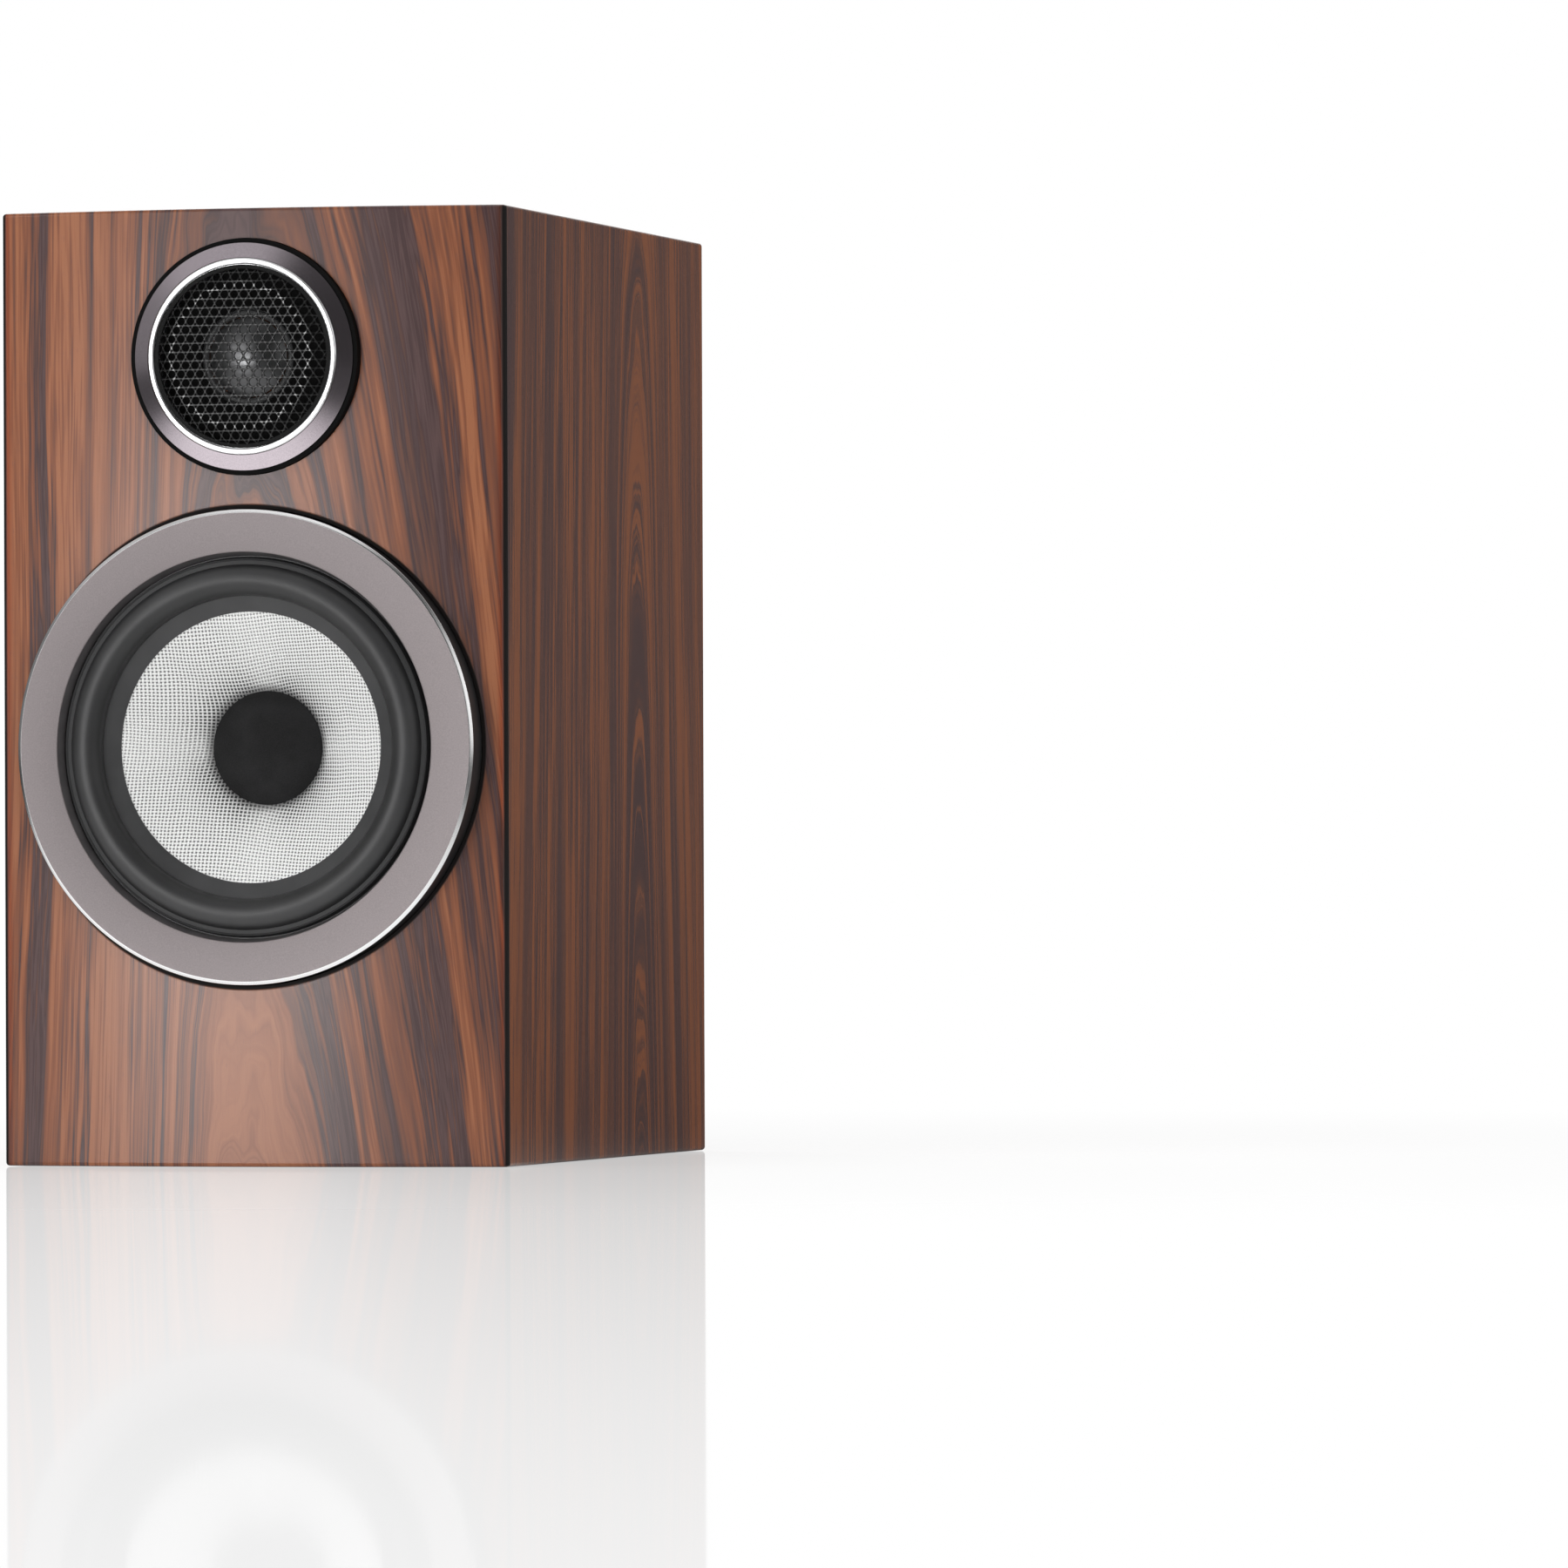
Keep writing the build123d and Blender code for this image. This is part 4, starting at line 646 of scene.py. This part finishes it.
def make_woofer_ring():
    """The trim ring, whose bevelled edge reaches out over the pod's rim."""
    low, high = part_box("woofer_trim_ring")
    front, back = 0.0, (high.y - low.y) / MM
    bevel = 73.3
    # Radius and depth behind the ring's foremost edge, from the bore outwards and back.
    outline = (
        (60.6, back), (59.95, 4.4), (60.96, 0.16), (61.02, 0.04), (61.12, front), (61.4, 0.0), (67.0, 0.34),
        (73.1, 0.72), (bevel, 0.74), (73.45, 0.81), (73.9, 1.14), (74.25, 1.42), (74.38, 1.5), (74.4, 1.56),
        (73.5, 1.58), (73.5, 1.8), (62.0, 1.8), (62.0, back),
    )
    bore_edges, front_edges = 2, 13  # how many of the outline's edges end with the bore and with the front
    lathe = bmesh.new()
    for k, face in revolve(lathe, outline, woofer_axis, low.y, 256):
        face.smooth = bore_edges <= k < front_edges
        face.material_index = int(k < bore_edges)
    bmesh.ops.recalc_face_normals(lathe, faces=lathe.faces)
    mesh = bpy.data.meshes.new("woofer_ring")
    lathe.to_mesh(mesh)
    lathe.free()
    mesh.materials.append(ring_metal(
        "woofer_ring_satin", woofer_axis, bevel, (0.266, 0.237, 0.24, 1), (0.98, 0.98, 0.98, 1), 0.52, 0.2
    ))
    mesh.materials.append(grainy("ring_bore", (0.1, 0.094, 0.096, 1), 0.5, 0.3, 0.004))
    piece = add_piece("woofer_ring", mesh)
    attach(piece, "root")
    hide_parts("woofer_trim_ring")


def guard_depth(radius, shoulder, mouth, crown, rise):
    """How far behind its middle the guard's face lies: a shallow crown, then a flank that rounds over."""
    if radius <= shoulder:
        return crown * (radius / shoulder) ** 2
    start = math.atan(2 * crown / shoulder)
    chord = math.atan2(rise, mouth - shoulder)
    bend = math.hypot(mouth - shoulder, rise) / 2 / math.sin(chord - start)
    across = min(radius, mouth) - shoulder + bend * math.sin(start)
    return crown + bend * math.cos(start) - math.sqrt(bend**2 - across**2)


def guard_black(axis, shoulder):
    """Black-coated net with painted glints on its crossings, brightest on the shoulder, and painted shade
    that darkens it down its sides.
    """
    shader = Shader("mesh_black", roughness=0.34)
    radius = shader.radius_from(axis)
    # Painted glints: the crossings, marked in make_guard, are painted light grey, fully on the shoulder,
    # faintly elsewhere, and less down the sides.
    painted_light_share = shader.add("ShaderNodeAttribute", attribute_name="painted_glint").outputs["Fac"]
    painted_light_share = shader.math("POWER", painted_light_share, 1.4)
    bright_band, half_width = shoulder + 0.6, 0.7
    on_shoulder = shader.math("COMPARE", radius, bright_band, half_width)
    painted_light_share = shader.math("MULTIPLY", painted_light_share, shader.span(on_shoulder, 0, 1, 0.22, 1.0))
    # Painted shade: the coat darkens down the sides, in the recess behind the bright ring.
    shaded_side = shader.span(radius, shoulder + 0.8, shoulder + 2.2)
    painted_light_share = shader.math("MULTIPLY", painted_light_share, shader.span(shaded_side, 0, 1, 1.0, 0.3))
    coat = shader.mix(shaded_side, (0.05, 0.05, 0.05, 1), (0.02, 0.02, 0.02, 1))
    shader.colour(shader.mix(painted_light_share, coat, (0.8, 0.8, 0.8, 1)))
    shader.feed(shader.span(painted_light_share, 0, 1, 0.85, 0.0), shader.surface.inputs["Metallic"])
    shader.bump(shader.noise(shader.place, 4000, 1), 0.000002)
    return shader.material


def make_guard():
    """The tweeter's guard: bars in three directions, which cross two by two, over a domed form."""
    low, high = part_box("tweeter_mesh")
    axis = middle("tweeter_mesh")
    rim = (high.x - low.x) / 2 / MM
    flange, flange_thick = 1.2, 0.5
    shoulder, mouth, crown, thick = 21.8, rim - flange, 1.2, 0.4
    rim_level = (high.y - low.y) / MM - flange_thick
    # Pitch of the lattice, width of a bar and of a crossing, and how far their ridges stand out.
    pitch, bar, node, roof = 3.18, 0.32, 0.5, 0.1
    under_flange, last_opening = 0.4, 0.6  # how far past the mouth the net, and an opening's middle, may lie
    row = pitch * math.sqrt(3) / 2
    reach = int(rim / row) + 2

    def place(spot, level):
        radius = math.hypot(*spot)
        share = min(1, (mouth + under_flange) / radius) if radius else 1
        depth = guard_depth(radius, shoulder, mouth, crown, rim_level - crown) + level
        return Vector((axis.x + spot[0] * share * MM, low.y + depth * MM, axis.z + spot[1] * share * MM))

    def outlines():
        """Each opening's corners: six-sided ones at the lattice's points, three-sided ones between."""
        turns = [math.radians(60 * k) for k in range(6)]
        hexagon = [(0.5 * math.cos(turn), 0.5 * math.sin(turn)) for turn in turns]
        side = 0.5 / math.sqrt(3)
        for line in range(-reach, reach + 1):
            for column in range(-reach, reach + 1):
                x, z = pitch * (column + line % 2 / 2), row * line
                yield (x, z), [(x + pitch * u, z + pitch * v) for u, v in hexagon]
                for up in (1, -1):
                    centre = x + pitch / 2, z + up * row / 3
                    yield centre, [
                        (centre[0] + pitch * side * math.sin(math.radians(120 * k)),
                         centre[1] - up * pitch * side * math.cos(math.radians(120 * k)))
                        for k in range(3)
                    ]

    net = bmesh.new()
    painted_glint = net.verts.layers.float.new("painted_glint")
    shared = {}

    def on_ridge(spot, level):
        key = round(spot[0], 2), round(spot[1], 2)
        if key not in shared:
            shared[key] = net.verts.new(place(spot, level))
        return shared[key]

    def towards(centre, spot, share):
        return centre[0] + (spot[0] - centre[0]) * share, centre[1] + (spot[1] - centre[1]) * share

    for centre, corners in outlines():
        if math.hypot(*centre) > mouth + last_opening:
            continue
        inner = math.dist(corners[0], corners[1]) / 2 / math.tan(math.pi / len(corners))
        ridge, lip = [], []
        for one, other in zip(corners, corners[1:] + corners[:1]):
            half_way = (one[0] + other[0]) / 2, (one[1] + other[1]) / 2
            ridge += [on_ridge(one, 0), on_ridge(half_way, roof / 2)]
            # Marks the crossings for the painted glints.
            ridge[-2][painted_glint] = 1.0
            lip += [
                net.verts.new(place(towards(centre, one, 1 - node / 2 / inner), roof)),
                net.verts.new(place(towards(centre, half_way, 1 - bar / 2 / inner), roof)),
            ]
        for k in range(len(ridge)):
            n = (k + 1) % len(ridge)
            net.faces.new((ridge[k], ridge[n], lip[n], lip[k]))
    smallest_edge = 0.02 * MM
    bmesh.ops.dissolve_degenerate(net, dist=smallest_edge, edges=net.edges[:])
    back = bmesh.ops.extrude_face_region(net, geom=net.faces[:], use_keep_orig=True)["geom"]
    back = [part for part in back if isinstance(part, bmesh.types.BMVert)]
    bmesh.ops.translate(net, verts=back, vec=(0, thick * MM, 0))
    inside = mouth - 0.2
    band = (
        (inside, 0.1), (mouth, -0.02), (rim - 0.1, -0.02), (rim, 0.08),
        (rim, flange_thick), (inside, flange_thick),
    )
    band = [(radius, rim_level + depth) for radius, depth in band]
    for _, face in revolve(net, band, axis, low.y, 128):
        face.material_index = 1
    bmesh.ops.recalc_face_normals(net, faces=net.faces)
    mesh = bpy.data.meshes.new("tweeter_guard")
    net.to_mesh(mesh)
    net.free()
    mesh.materials.append(guard_black(axis, shoulder))
    near_black = (0.004, 0.004, 0.004, 1)
    mesh.materials.append(grainy("rim_black", near_black, 0.6, 0.3, 0.01, specular_ior_level=0.2))
    piece = add_piece("tweeter_guard", mesh)
    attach(piece, "root")
    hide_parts("tweeter_mesh")


def make_wadding():
    """Two sheets of loose wadding, with soft edges and an uneven face."""
    fleece = fibre_fleece("wadding_fleece")
    low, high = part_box("damping_wadding")
    thick = 12 * MM
    cuts, lumps, lump_width, soft_edge = 15, 24, 0.09, 0.08  # the last two as shares of the sheet
    for side, name in ((-1, "wadding_left"), (1, "wadding_right")):
        outer = high.x if side > 0 else low.x
        grid = bmesh.new()
        bmesh.ops.create_cube(grid, size=1)
        bmesh.ops.subdivide_edges(grid, edges=grid.edges[:], cuts=cuts, use_grid_fill=True)
        rng = random.Random(5 + side)
        bumps = [(rng.uniform(0, 1), rng.uniform(0, 1), rng.uniform(0.3, 1)) for _ in range(lumps)]
        for vertex in grid.verts:
            across, along, up = (value + 0.5 for value in vertex.co)
            lump = sum(
                size * math.exp(-(((along - where_y) / lump_width) ** 2) - ((up - where_z) / lump_width) ** 2)
                for where_y, where_z, size in bumps
            )
            edge = min(along, 1 - along, up, 1 - up)
            swell = min(1, edge / soft_edge) ** 0.5
            depth = (0.25 + 0.6 * swell + 0.1 * min(1.5, lump)) * thick
            faces_in = (across < 0.5) == (side > 0)
            vertex.co = Vector((
                outer - side * depth if faces_in else outer,
                low.y + along * (high.y - low.y),
                low.z + up * (high.z - low.z),
            ))
        mesh = bpy.data.meshes.new(name)
        grid.normal_update()
        grid.to_mesh(mesh)
        grid.free()
        mesh.materials.append(fleece)
        mesh.shade_smooth()
        piece = add_piece(name, mesh)
        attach(piece, "root")
        if side > 0:
            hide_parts("damping_wadding")


# --- Studio ----------------------------------------------------------------------------------
FLOOR_GAP = 0.0002  # under the object, so that the two faces don't meet
FLOOR_ALBEDO = 0.8
VIEW_SLOPE = 0.262  # how far the line of sight runs sideways in each metre of depth


def make_floor():
    """White floor with a soft shadow, and in front a faint mirror image of the object that fades away."""
    bpy.ops.mesh.primitive_plane_add(size=14, location=(0, 0, -FLOOR_GAP))
    floor = bpy.context.object
    floor.name = "floor"
    shader = Shader("floor_white")
    plain = shader.surface
    plain.inputs["Specular IOR Level"].default_value = 0.0
    plain.inputs["Emission Color"].default_value = (1, 1, 1, 1)
    path = shader.add("ShaderNodeLightPath")
    x, y, _ = shader.split(shader.place)
    seen = shader.math("MAXIMUM", path.outputs["Is Camera Ray"], path.outputs["Is Transmission Ray"])
    polished = path.outputs["Is Glossy Ray"]

    def away_from(centre_x, centre_y):
        across = shader.math("SUBTRACT", x, centre_x)
        back = shader.math("SUBTRACT", y, centre_y)
        return shader.distance(across, back)

    # The floor scatters light on the object; to the camera it is white but for the shadow, and
    # polished surfaces see it bright just in front of the object and dark far away.
    open_floor = shader.span(away_from(0, 0), 0.4, 0.9, smooth=True)
    darkened = shader.math("MULTIPLY", seen, shader.span(open_floor, 0, 1, 0.54, FLOOR_ALBEDO))
    albedo = shader.math("SUBTRACT", FLOOR_ALBEDO, darkened)
    albedo = shader.math("SUBTRACT", albedo, shader.math("MULTIPLY", polished, FLOOR_ALBEDO), clamp=True)
    shader.colour(shader.vector(albedo, albedo, albedo))
    to_camera = shader.math("MULTIPLY", seen, shader.span(open_floor, 0, 1, 0.75, 1.0))
    near = shader.span(away_from(-0.12, -0.3), 0.12, 0.7, 1.05, 0.06, smooth=True)
    near = shader.math("MULTIPLY", near, shader.span(y, -0.16, -0.08, 1, 0.3))
    glow = shader.math("ADD", to_camera, shader.math("MULTIPLY", polished, near))
    shader.feed(glow, plain.inputs["Emission Strength"])
    mirror = shader.add("ShaderNodeBsdfGlossy")
    mirror.inputs["Roughness"].default_value = 0.04
    mirror.inputs["Color"].default_value = (1, 1, 1, 1)
    facing = shader.add("ShaderNodeLayerWeight")
    facing.inputs["Blend"].default_value = 0.5
    grazing = shader.span(facing.outputs["Facing"], 0.922, 0.94)
    # The image lies in a strip that runs from the object towards the camera's side.
    beside = shader.math("ABSOLUTE", shader.math("ADD", x, shader.math("MULTIPLY", y, VIEW_SLOPE)))
    grazing = shader.math("MULTIPLY", grazing, shader.span(beside, 0.3, 0.4, 1, 0))
    fade = shader.math("MULTIPLY", shader.span(y, -3.2, -0.1, 0.0, 0.4), shader.span(y, 0.05, 0.3, 1, 0))
    share = shader.math("MULTIPLY", shader.math("MULTIPLY", grazing, fade), path.outputs["Is Camera Ray"])
    both = shader.add("ShaderNodeMixShader")
    shader.feed(share, both.inputs[0])
    shader.feed(plain.outputs[0], both.inputs[1])
    shader.feed(mirror.outputs[0], both.inputs[2])
    shader.feed(both.outputs[0], shader.tree.nodes["Material Output"].inputs["Surface"])
    floor.data.materials.append(shader.material)


AMBIENT = 0.44
ZENITH = 0.85

# What polished surfaces see, level and high up: azimuth from the front towards the right, and level.
HORIZON = (
    (-180, 1.0), (-135, 1.0), (-118, 0.05), (-80, 0.18), (-55, 0.25), (-32, 0.12), (-6, 0.14), (4, 0.03),
    (43, 0.03), (52, 1.0), (132, 1.0), (141, 0.07), (179, 0.07),
)
OVERHEAD = ((-180, 0.46), (-12, 0.46), (8, 0.05), (50, 0.05), (70, 0.4), (179, 0.4))


def make_world():
    """White to the camera. Polished surfaces see a studio with a white backdrop and dark flags."""
    world = bpy.data.worlds.new("studio")
    bpy.context.scene.world = world
    world.use_nodes = True
    tree = world.node_tree
    tree.nodes.clear()

    def add(kind, operation=None):
        node = tree.nodes.new(kind)
        if operation:
            node.operation = operation
        return node

    def background(level):
        node = add("ShaderNodeBackground")
        node.inputs["Color"].default_value = (level, level, level, 1)
        return node

    split = add("ShaderNodeSeparateXYZ")
    tree.links.new(add("ShaderNodeTexCoord").outputs["Generated"], split.inputs[0])
    forward = add("ShaderNodeMath", "MULTIPLY")
    tree.links.new(split.outputs["Y"], forward.inputs[0])
    forward.inputs[1].default_value = -1
    azimuth = add("ShaderNodeMath", "ARCTAN2")
    tree.links.new(split.outputs["X"], azimuth.inputs[0])
    tree.links.new(forward.outputs[0], azimuth.inputs[1])
    share = add("ShaderNodeMapRange")
    share.inputs["From Min"].default_value = -math.pi
    share.inputs["From Max"].default_value = math.pi
    tree.links.new(azimuth.outputs[0], share.inputs["Value"])

    def surroundings(levels):
        ramp = add("ShaderNodeValToRGB")
        while len(ramp.color_ramp.elements) < len(levels):
            ramp.color_ramp.elements.new(0.5)
        for element, (angle, level) in zip(ramp.color_ramp.elements, levels):
            element.position = angle / 360 + 0.5
            element.color = (level, level, level, 1)
        tree.links.new(share.outputs[0], ramp.inputs[0])
        return ramp.outputs[0]

    def above(low, high, below, over):
        """One level under a band of heights and another over it."""
        height = add("ShaderNodeMapRange")
        height.interpolation_type = "SMOOTHSTEP"
        height.inputs["From Min"].default_value = low
        height.inputs["From Max"].default_value = high
        tree.links.new(split.outputs["Z"], height.inputs["Value"])
        levels = add("ShaderNodeMix")
        levels.data_type = "RGBA"
        tree.links.new(height.outputs[0], levels.inputs[0])
        tree.links.new(below, levels.inputs[6])
        tree.links.new(over, levels.inputs[7])
        return levels.outputs[2]

    zenith = add("ShaderNodeRGB")
    zenith.outputs[0].default_value = (ZENITH, ZENITH, ZENITH, 1)
    sides = above(0.35, 0.65, surroundings(HORIZON), surroundings(OVERHEAD))
    levels = above(0.82, 0.92, sides, zenith.outputs[0])
    polished = add("ShaderNodeBackground")
    tree.links.new(levels, polished.inputs["Color"])

    path = add("ShaderNodeLightPath")
    seen = add("ShaderNodeMath", "MAXIMUM")
    tree.links.new(path.outputs["Is Camera Ray"], seen.inputs[0])
    tree.links.new(path.outputs["Is Transmission Ray"], seen.inputs[1])
    for_gloss = add("ShaderNodeMixShader")
    tree.links.new(path.outputs["Is Glossy Ray"], for_gloss.inputs[0])
    tree.links.new(background(AMBIENT).outputs[0], for_gloss.inputs[1])
    tree.links.new(polished.outputs[0], for_gloss.inputs[2])
    for_camera = add("ShaderNodeMixShader")
    tree.links.new(seen.outputs[0], for_camera.inputs[0])
    tree.links.new(for_gloss.outputs[0], for_camera.inputs[1])
    tree.links.new(background(1.0).outputs[0], for_camera.inputs[2])
    tree.links.new(for_camera.outputs[0], add("ShaderNodeOutputWorld").inputs["Surface"])


def softbox(name, azimuth, lift, distance, width, height, level, aim=(0, 0, 0.15)):
    """A rectangular lamp aimed at the object.

    Azimuth 0 is in front and 90 on the right, and level is the lamp's radiance.
    """
    turn, rise = math.radians(azimuth), math.radians(lift)
    away = Vector((math.sin(turn) * math.cos(rise), -math.cos(turn) * math.cos(rise), math.sin(rise)))
    data = bpy.data.lights.new(name, "AREA")
    data.shape = "RECTANGLE"
    data.size, data.size_y = width, height
    data.energy = level * math.pi * width * height
    lamp = bpy.data.objects.new(name, data)
    lamp.location = Vector(aim) + away * distance
    lamp.rotation_euler = (-away).to_track_quat("-Z", "Y").to_euler()
    bpy.context.scene.collection.objects.link(lamp)
    return lamp


def make_studio():
    """The floor, the surroundings and the lamps. Two lamps light the object but aren't mirrored in it."""
    make_floor()
    make_world()
    low_aim = (0, 0, 0.13)
    softbox("key_low", azimuth=-18, lift=0, distance=1.3, width=0.56, height=0.26, level=9.0, aim=low_aim)
    softbox("key_high", azimuth=-26, lift=22, distance=2.0, width=1.2, height=0.7, level=1.8)
    fill = softbox("fill", azimuth=32, lift=4, distance=2.2, width=1.4, height=1.2, level=2.1)
    fill.visible_glossy = False
    softbox("right", azimuth=106, lift=24, distance=2.4, width=0.9, height=1.2, level=4.0)
    top = softbox("top", azimuth=-20, lift=80, distance=2.4, width=1.8, height=1.6, level=1.2)
    top.visible_glossy = False
    softbox("rear", azimuth=215, lift=35, distance=2.6, width=1.4, height=1.2, level=2.5)


make_camera()
make_studio()
dress_cabinet()
dress_rest()
make_woofer_ring()
make_suspensions()
make_guard()
make_wadding()
bpy.context.scene.view_settings.view_transform = "Standard"
